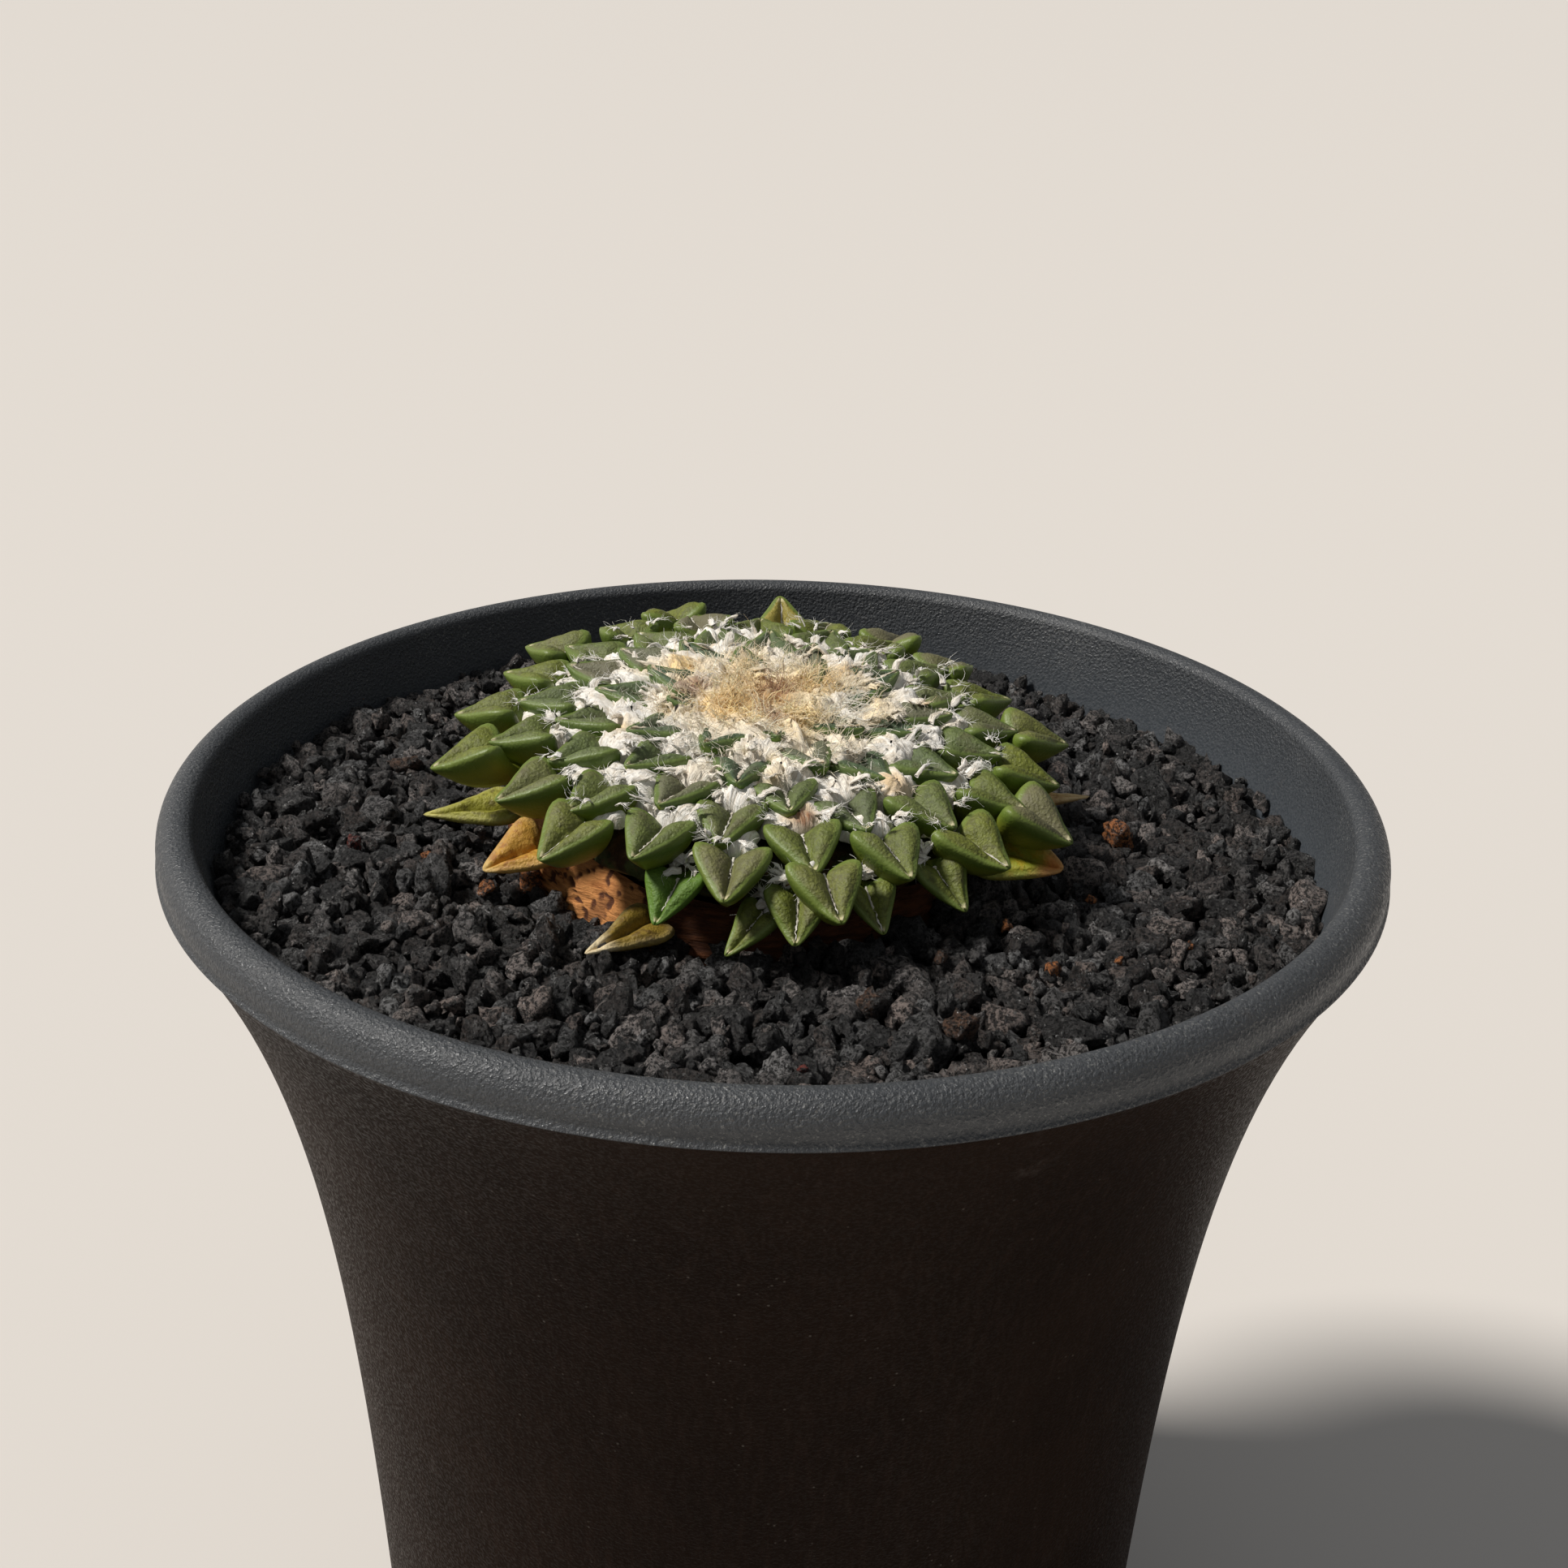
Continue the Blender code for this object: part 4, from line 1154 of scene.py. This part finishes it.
def core_material():
    """Green to brown stem skin, mostly hidden between the tubercles."""
    shader = Shader("stem_skin", roughness=0.65, specular=0.3)
    mottle = shader.ramp(shader.noise(1.2, 4.0), 0.35, 0.65)
    shader.colour = shader.mix(mottle, *STEM)
    shader.paint(shader.ramp(shader.noise(2.6, 4.0, 0.65), 0.46, 0.60), shader.mix(mottle, *STEM_DRY))
    shader.emboss(shader.noise(0.5, 4.0), 0.3)
    return shader.finish()


def bark_material():
    """Peeling woody bark: dark cracks, brown plates darkened as painted shade, and orange papery flakes
    brightened as painted light.
    """
    shader = Shader("bark", roughness=0.72, specular=0.3)
    fibres = shader.noise(0.7, 5.0, 0.65, place=shader.stretched(0.3, 0.3, 2.2))
    shader.colour = shader.mix(shader.ramp(fibres, 0.35, 0.68), *SHADED_BARK)
    bright = shader.mix(shader.ramp(fibres, 0.3, 0.6), *LIT_FLAKE)
    shader.paint(shader.ramp(shader.mask("lit_flakes"), 0.25, 0.55), bright)
    shader.paint(shader.ramp(shader.mask("crack"), 0.2, 0.8, 0.0, 0.65), CRACK)
    shader.emboss(fibres, 0.6)
    shader.emboss(shader.noise(0.25, 4.0, 0.7), 0.06)
    return shader.finish()


def turned(name, heights, radii, sides, material, shift, masks=None):
    """Turn a profile about the plant's axis, with its radius shifted at each point."""
    height, angle = rings(heights, sides)
    points = in_plant_frame(polar(np.repeat(radii, sides) + shift, angle, height))
    return mesh_piece(name, points, grid_faces(len(heights), sides), material, masks=masks)


def make_neck():
    """The taproot: peeling plates and cracks on its neck, its flakes painted bright only round the front
    left where the key light falls, plain below the grit.
    """
    rng = np.random.default_rng(61)
    heights = np.concatenate([np.linspace(*steps) for steps in NECK_STEPS])
    known = np.array(ROOT_PROFILE)[::-1]
    radii = np.interp(heights, known[:, 0], known[:, 1])
    height, angle = rings(heights, BARK_SIDES)
    around = polar(BARK_RADIUS, angle, BARK_STRETCH * height)
    warp = np.stack([PLATE_WARP * fractal(around, 4.2, 60 + axis * 7, 4) for axis in range(3)], axis=1)
    turn = rng.uniform(0.0, TURN, PLATES)
    middles = polar(BARK_RADIUS, turn, rng.uniform(*PLATE_HEIGHTS, PLATES))
    gaps = np.linalg.norm((around + warp)[:, None, :] - middles[None], axis=2)
    nearest = np.argsort(gaps, axis=1)[:, :2]
    first, second = np.take_along_axis(gaps, nearest, axis=1).T
    plate = nearest[:, 0]
    crack = clamped(1.0 - (second - first) / CRACK_WIDTH)
    tilts = rng.normal(size=(PLATES, 3))[plate]
    tilt = PLATE_TILT * np.sum((around - middles[plate]) * tilts, axis=1)
    lift = rng.uniform(-PLATE_LIFT, PLATE_LIFT, PLATES)[plate]
    # Painted light: the flakes are bright only round the front left, toward the key light
    fresh = clamped(LIT_FLAKES_FADE * (np.cos(turn - LIT_FLAKES_AZIMUTH) - LIT_FLAKES_START))
    lit_flakes = (rng.uniform(*FLAKE_SHARES, PLATES) * fresh)[plate]
    shown = clamped((height - BURIED_HEIGHT) / BURIED_FADE)
    ripples = RIPPLE_DEPTH * fractal(around * BARK_GRAIN, 1.4, 64, 4)
    shift = shown * (ripples + lift + tilt - CRACK_DEPTH * crack - BARK_INSET)
    piece = turned("root_neck", heights, radii, BARK_SIDES, bark_material(), shift,
                   masks={"crack": crack, "lit_flakes": lit_flakes * (1.0 - crack)})
    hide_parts("taproot")


def make_core():
    """The stem between the tubercles, with the scars of fallen ones round its edge."""
    levels, radii = smooth_path(CORE_PROFILE, CORE_ROWS).T
    level, angle = rings(levels, CORE_SIDES)
    scars = np.abs(fractal(polar(BARK_RADIUS, angle, CORE_STRETCH * level), 2.6, 66, 3))
    shift = SCAR_DEPTH * scars - CORE_INSET
    turned("stem_core", levels, radii, CORE_SIDES, core_material(), shift)


def wool_height(radius):
    """Top of the crown's wool above the plant's middle, as in the model."""
    known = np.array(WOOL_PROFILE)
    return np.interp(radius, known[:, 0], known[:, 1])


def wool_material(name, look):
    """Dry plant wool, matt and fibrous: felted along its fibres, matted, or plain glossier threads; the
    felted and matted looks are darkened in the low grooves of their relief as painted shade.
    """
    roughness, specular = (0.45, 0.6) if look == "threads" else (0.85, 0.2)
    shader = Shader(name, roughness, specular)
    shader.surface.inputs["Sheen Weight"].default_value = 0.3
    shader.surface.inputs["Sheen Roughness"].default_value = 0.5
    shader.colour = shader.mask("tint", "Color")
    if look == "felted":
        streaks = shader.noise(0.24, 4.0, 0.7, place=shader.along_fibres())
        shader.paint(shader.ramp(streaks, 0.34, 0.58, 0.65, 0.0), FELT_PAINTED_SHADE)
        shader.emboss(streaks, 0.34)
    if look == "matted":
        felt = shader.noise(0.30, 5.0, 0.7)
        shader.paint(shader.ramp(felt, 0.32, 0.56, 0.35, 0.0), MAT_PAINTED_SHADE)
        shader.emboss(felt, 0.2)
    return shader.finish()


def wool_colours(points, rng, spread):
    """Cream white wool, golden at the crown's middle, with brown and tan spots."""
    middle = in_plant_frame(CROWN_MIDDLE)
    distance = np.hypot(points[:, 0] - middle[0], points[:, 1] - middle[1]) / GOLD_RADIUS
    wander = fractal(points, 3.0, 81, 2)
    colours = blend(clamped(1.7 - distance + 0.9 * wander)[:, None], WOOL_WHITE, WOOL_CREAM)
    colours = blend(clamped(0.95 - distance + 0.75 * wander)[:, None], colours, WOOL_GOLD)
    for x, y, size, colour in WOOL_SPOTS:
        spot = in_plant_frame((x, y, SPOT_HEIGHT))
        away = np.hypot(points[:, 0] - spot[0], points[:, 1] - spot[1]) / size + 0.5 * wander
        colours = blend(SPOT_STRENGTH * clamped(1.5 - away)[:, None], colours, colour)
    return np.clip(colours * (1.0 + rng.uniform(-spread, spread, (len(points), 1))), 0.0, BRIGHTEST_WOOL)


def make_wool_mat():
    """The felted mass of wool under the crown's threads."""
    rng = np.random.default_rng(201)
    radius, angle = rings(np.linspace(0.05, MAT_RADIUS, MAT_ROWS), MAT_SIDES)
    flat = polar(radius, angle, 0.0)
    sunk = 0.35 + 0.20 * np.clip(radius - 9.0, 0.0, 9.0)
    flat[:, 2] = wool_height(radius) - sunk + 0.65 * fractal(flat, 2.4, 71, 4)
    points = in_plant_frame(flat)
    faces = grid_faces(MAT_ROWS, MAT_SIDES)[:, ::-1]
    mat = mesh_piece("crown_wool_mat", points, faces, wool_material("matted_wool", "matted"),
                     colours=wool_colours(points, rng, 0.04))
    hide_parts("crown_wool")


def make_strands(name, roots, ways, lengths, widths, curls, colours, seed):
    """Curly tapering threads, each a thin tube along a bent and waved line."""
    rng = np.random.default_rng(seed)
    count = len(roots)
    ways = unit(ways)
    bend = unit(np.cross(ways, rng.normal(size=(count, 3))))
    wave = np.cross(ways, bend)
    phase = rng.uniform(0.0, TURN, count)
    share = np.linspace(0.0, 1.0, THREAD_STEPS)
    lines = []
    for s in share:
        lean = bend * (curls * s * s)[:, None]
        sway = wave * (0.22 * curls * (np.sin(5.0 * s + phase) - np.sin(phase)))[:, None]
        lines.append(roots + lengths[:, None] * (ways * s + lean + sway))
    lines = np.stack(lines, axis=1)
    along = unit(np.gradient(lines, axis=1))
    first = unit(np.cross(along, wave[:, None, :] + 0.01))
    thick = widths[:, None] * (1.0 - 0.7 * share[None, :])
    points, faces, _ = swept(lines, first, np.cross(along, first), thick, thick, THREAD_SIDES)
    return mesh_piece(name, points, faces, wool_material(name + "_fibre", "threads"),
                      colours=np.repeat(colours, THREAD_SIDES * THREAD_STEPS, axis=0))


def make_crown_strands():
    """Tangled locks over the crown, and stars of threads from the axils round it."""
    rng = np.random.default_rng(301)
    count = CLUMPS * CLUMP_THREADS
    radius = CLUMP_RADIUS * rng.uniform(0.0, 1.0, CLUMPS) ** 0.6
    angle = rng.uniform(0.0, TURN, CLUMPS)
    centres = polar(radius, angle, wool_height(radius) - 0.35)
    outward = polar(1.0, angle, 0.0)
    lay = rng.normal(size=(CLUMPS, 3)) * (0.9, 0.9, 0.12) + 0.35 * outward + (0.0, 0.0, 0.18)
    spread = rng.normal(size=(count, 3)) * (0.38, 0.38, 0.15)
    roots = in_plant_frame(np.repeat(centres, CLUMP_THREADS, axis=0) + spread)
    ways = np.repeat(lay, CLUMP_THREADS, axis=0) + rng.normal(size=(count, 3)) * 0.20
    lengths = np.repeat(rng.uniform(*CLUMP_LENGTHS, CLUMPS), CLUMP_THREADS) * rng.uniform(0.6, 1.1, count)
    curls = np.repeat(rng.uniform(*CLUMP_CURLS, CLUMPS), CLUMP_THREADS) * rng.uniform(0.7, 1.3, count)
    locks = [(roots, ways, lengths, curls)]
    for shape in spiral_tubercles():
        if shape.reach > AXIL_REACH:
            continue
        fan = rng.uniform(-2.0, 2.0, AXIL_THREADS)[:, None]
        rise = rng.uniform(0.15, 0.95, AXIL_THREADS)[:, None]
        ways = np.cos(fan) * shape.out + np.sin(fan) * shape.side + rise * shape.up
        roots = shape.place(1.15 * shape.length, 0.0, 0.1) + rng.normal(size=(AXIL_THREADS, 3)) * 0.35
        lengths = rng.uniform(*AXIL_LENGTHS, AXIL_THREADS)
        locks.append((roots, ways, lengths, rng.uniform(*AXIL_CURLS, AXIL_THREADS)))
    roots, ways, lengths, curls = (np.concatenate(values) for values in zip(*locks))
    widths = rng.uniform(*THREAD_WIDTHS, len(roots))
    colours = wool_colours(roots, rng, 0.14)
    make_strands("crown_wool_strands", roots, ways, lengths, widths, curls, colours, 302)


def wool_plenty(shape):
    """How much wool stands behind a tubercle, from its distance from the crown."""
    return float(np.interp(shape.reach, (0.45, 0.62, 0.82, 0.96), (1.18, 1.06, 0.74, 0.40)))


def wool_pad(shape):
    """Points and fibre places of the pad of wool in one axil, pleated like a fan out of the notch."""
    plenty = wool_plenty(shape)
    ring, turn = rings(np.linspace(0.03, 1.0, PAD_RINGS), PAD_SIDES)
    ragged = 1.0 + 0.30 * fractal(polar(2.2, turn, 7.0 * shape.seed), 1.0, 601, 3)
    ahead = np.cos(turn)
    along = np.where(ahead > 0.0, PAD_FRONT, PAD_REAR) * shape.length * plenty
    back = PAD_MIDDLE * shape.length - ring * ahead * along * ragged
    across = ring * np.sin(turn) * PAD_SPREAD * shape.width * plenty * ragged
    from_notch = back - PAD_NOTCH * shape.length
    fan = np.arctan2(across, from_notch)
    radius = np.hypot(across, from_notch)
    pleat_place = np.column_stack((9.0 * fan, 0.5 * radius, np.full(len(fan), 5.3 * shape.seed)))
    pleats = fractal(pleat_place, 1.0, 611, 3)
    height = PAD_HEIGHT * plenty * np.sqrt(np.maximum(1.0 - ring ** 2.4, 0.0))
    points = shape.place(back, across, PAD_FOOT + height * (1.0 + 0.20 * pleats))
    lay = (FIBRE_STRETCH * radius, 2.2 * fan + FIBRE_SHIFT * shape.seed, np.zeros(len(fan)))
    return points, np.column_stack(lay)


def make_wool_pads():
    """The satin pads of wool behind the notches of the tubercles."""
    rng = np.random.default_rng(602)
    pads = [wool_pad(shape) for shape in spiral_tubercles() if shape.reach < PAD_REACH]
    points, lay = (np.vstack(values) for values in zip(*pads))
    for axis in range(3):
        points[:, axis] += 0.10 * fractal(points + 50.0 * axis, 1.3, 620 + axis, 3)
    faces = copies(grid_faces(PAD_RINGS, PAD_SIDES)[:, ::-1], len(pads), PAD_RINGS * PAD_SIDES)
    mesh_piece("wool_pads", points, faces, wool_material("satin_wool", "felted"),
               colours=wool_colours(points, rng, 0.02), lay=lay)


def felt_arms(rng):
    """Root, direction, upward direction, reach and half width of every felted point of the wool."""
    for shape in spiral_tubercles():
        if shape.reach > FELT_REACH:
            continue
        plenty = wool_plenty(shape)
        for _ in range(round(FELT_POINTS * plenty)):
            angle = rng.uniform(-2.3, 2.3)
            level = math.cos(angle) * shape.out + math.sin(angle) * shape.side
            way = unit(level + rng.uniform(0.0, 0.5) * shape.up)
            back = (shape.notch + 0.22 * shape.length) * rng.uniform(0.95, 1.15)
            root = shape.place(back, 0.30 * shape.width * math.sin(angle), rng.uniform(-0.5, 0.5))
            yield root, way, shape.up, plenty * rng.uniform(0.9, 2.3), plenty * rng.uniform(0.30, 0.70)
    for shape in low_tubercles():
        for _ in range(LOW_FELT_POINTS):
            way = unit(rng.choice((-1.0, 1.0)) * shape.side + 0.3 * rng.normal(size=3))
            root = shape.place(rng.uniform(0.95, 1.25) * shape.length, 0.0, -0.2)
            yield root, way, shape.up, rng.uniform(1.5, 2.8), rng.uniform(0.30, 0.55)
    upward = np.array(plant_place())[:3, 2]
    for _ in range(CROWN_FELT_POINTS):
        radius = CROWN_FELT_RADIUS * math.sqrt(rng.uniform())
        root = in_plant_frame(polar(radius, rng.uniform(0.0, TURN), wool_height(radius) - 1.0))
        way = unit(rng.normal(size=3) * (1.0, 1.0, 0.25) + (0.0, 0.0, 0.45))
        yield root, way, upward, rng.uniform(1.0, 2.4), rng.uniform(0.25, 0.65)


def make_axil_felt():
    """Felted points, like torn cotton, in the crown and out of the axils, with a fringe of fine hairs."""
    rng = np.random.default_rng(401)
    share = np.linspace(0.0, 1.0, FELT_STEPS)
    arms = []
    hairs = []
    for root, way, upward, reach, half_width in felt_arms(rng):
        across = unit(np.cross(upward, way))
        over = np.cross(way, across)
        curl = rng.uniform(-0.5, 0.5) * reach
        arch = rng.uniform(0.0, 0.35) * reach

        def along_arm(at, sideways=0.0):
            """Points at those shares of the arm's length, moved sideways from its middle."""
            bowed = curl * at ** 2 + sideways
            raised = arch * np.sin(math.pi * at * 0.8)
            return root + at[:, None] * reach * way + bowed[:, None] * across + raised[:, None] * over

        width = half_width * (1.0 - share) ** 0.6 * (0.6 + 0.7 * share) + 0.015
        height = FELT_THICKNESS * half_width * (1.0 - share) ** 0.5 + 0.015
        whole = np.ones((FELT_STEPS, 1))
        arms.append((along_arm(share), across * whole, over * whole, width, height))
        at = rng.uniform(0.15, 1.0, FRINGE_HAIRS)
        hand = rng.choice((-1.0, 1.0), FRINGE_HAIRS)
        hair_ways = (way + hand[:, None] * across * rng.uniform(0.2, 1.0, (FRINGE_HAIRS, 1))
                     + rng.normal(size=(FRINGE_HAIRS, 3)) * 0.3 + 0.2 * upward)
        hairs.append((along_arm(at, hand * 0.8 * half_width * (1.0 - at)), hair_ways))
    points, faces, lay = swept(*(np.stack(values) for values in zip(*arms)), FELT_SIDES)
    crumple = np.stack([fractal(points, 0.95, 420 + axis * 5, 4) for axis in range(3)], axis=1)
    points = points + FELT_CRUMPLE * crumple
    mesh_piece("wool_felt", points, faces, wool_material("felted_wool", "felted"),
               colours=wool_colours(points, rng, 0.02), lay=lay)
    roots, ways = (np.vstack(values) for values in zip(*hairs))
    count = len(roots)
    lengths, widths, curls = (rng.uniform(*limits, count)
                              for limits in (FRINGE_LENGTHS, FRINGE_WIDTHS, FRINGE_CURLS))
    make_strands("wool_fringe", roots, ways, lengths, widths, curls, wool_colours(roots, rng, 0.08), 402)


def make_groove_wool():
    """The ragged papery strip in each groove, tan and thick near the crown, thin and white farther out."""
    rng = np.random.default_rng(501)
    share = np.linspace(0.0, 1.0, STRIP_ROWS)
    whole = np.ones((STRIP_ROWS, 1))
    strips = []
    colours = []
    for shape in list(spiral_tubercles()) + list(low_tubercles()):
        inner = float(np.interp(shape.reach, (0.35, 0.7), (1.0, 0.0)))
        start = (0.07 + 0.5 * rng.uniform() ** 2 * (1.0 - inner)) * shape.length
        back = start + (shape.notch + 0.25 - start) * share
        rise = shape.lobe(back, np.zeros(STRIP_ROWS)) + 0.08 + 0.20 * inner
        line = shape.place(back, 0.05 * rng.normal(size=STRIP_ROWS), rise)
        ragged = np.clip(rng.normal(0.8, 0.42, STRIP_ROWS), 0.08, 1.7)
        width = (0.06 + 0.18 * inner + 0.09 * share) * ragged * np.minimum(1.0, 6.0 * share + 0.25)
        height = (0.07 + 0.10 * inner) * np.clip(ragged, 0.5, 1.2)
        strips.append((line, shape.side * whole, shape.up * whole, width, height))
        mixed = blend(share[:, None], blend(inner, STRIP_WHITE, STRIP_TAN), STRIP_END)
        colours.append(np.repeat(mixed, STRIP_SIDES, axis=0))
    points, faces, lay = swept(*(np.stack(values) for values in zip(*strips)), STRIP_SIDES)
    mesh_piece("groove_wool", points, faces, wool_material("papery_wool", "felted"),
               colours=np.vstack(colours), lay=lay)


def old_material(name, base, tip_colour, spots, tip_share):
    """Drying plant skin that fades into a differently coloured tip."""
    shader = Shader(name, roughness=0.5, specular=0.35)
    shader.colour = shader.mix(shader.ramp(shader.noise(0.9, 4.0, 0.6), 0.45, 0.68), base, spots)
    shader.paint(shader.ramp(shader.mask("along"), tip_share, tip_share * 0.4), tip_colour)
    shader.paint(shader.times(shader.mask("edge"), 0.3), shader.mix(0.4, base, OLD_EDGE))
    shader.emboss(shader.noise(0.35, 4.0, 0.6), 0.16)
    return shader.finish()


def make_old_tubercles():
    """The five dry or drying tubercles under the rosette, each its own colour."""
    habit = random.Random(91)
    for number, (form, looks) in enumerate(zip(OLD_TUBERCLES, OLD_LOOKS), start=1):
        (x, y, z), azimuth, slope, length, width = form
        outline, base, tip_colour, spots, tip_share, roll, breadth = looks
        node = f"old_tubercle_{number}"
        shape = Tubercle((x, y, RIM_TOP + z), math.radians(azimuth), math.radians(slope),
                         (length, breadth * width, breadth * OLD_DEPTH), outline, 1.0, 200 + number,
                         roll=math.radians(roll), bend=either_way(habit, BEND_HABIT), lift=OLD_LIFT,
                         uneven=either_way(habit, OLD_UNEVEN_HABIT))
        material = old_material(f"dry_skin_{number}", base, tip_colour, spots, tip_share)
        piece = join_skins(node + "_skin", [shape], [{}], OLD_WRINKLE, material)
        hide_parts(node)


def make_camera():
    data = bpy.data.cameras.new("camera")
    data.lens = CAMERA_LENS
    data.sensor_width = SENSOR_WIDTH
    data.clip_start = 0.01
    data.clip_end = 200.0
    camera = add_object("camera", data)
    turn = Matrix((CAMERA_RIGHT, -Vector(CAMERA_DOWN), -Vector(CAMERA_AHEAD))).transposed().to_4x4()
    camera.matrix_world = Matrix.Translation(CAMERA_PLACE) @ turn
    bpy.context.scene.camera = camera


def make_stage():
    """A pale floor, one soft key light from high at the left, and even light all round."""
    bpy.ops.mesh.primitive_plane_add(size=FLOOR_SIZE)
    floor = bpy.context.object
    floor.name = "floor"
    shader = Shader("pale_floor", roughness=0.9, specular=0.15)
    shader.colour = FLOOR_COLOUR
    floor.data.materials.append(shader.finish())
    lamp = bpy.data.lights.new("key", "SUN")
    lamp.energy = KEY_STRENGTH
    lamp.angle = KEY_ANGLE
    lamp.color = KEY_COLOUR
    key = add_object("key", lamp)
    key.rotation_mode = "QUATERNION"
    key.rotation_quaternion = Vector(KEY_WAY).to_track_quat("-Z", "Y")
    world = bpy.data.worlds.new("studio")
    bpy.context.scene.world = world
    world.use_nodes = True
    backdrop = world.node_tree.nodes["Background"]
    backdrop.inputs["Color"].default_value = SKY_COLOUR
    backdrop.inputs["Strength"].default_value = SKY_STRENGTH
    bpy.context.scene.view_settings.view_transform = "Standard"


make_camera()
make_stage()
make_pot()
make_grit()
make_neck()
make_core()
make_living_tubercles()
make_old_tubercles()
make_wool_mat()
make_crown_strands()
make_wool_pads()
make_axil_felt()
make_groove_wool()
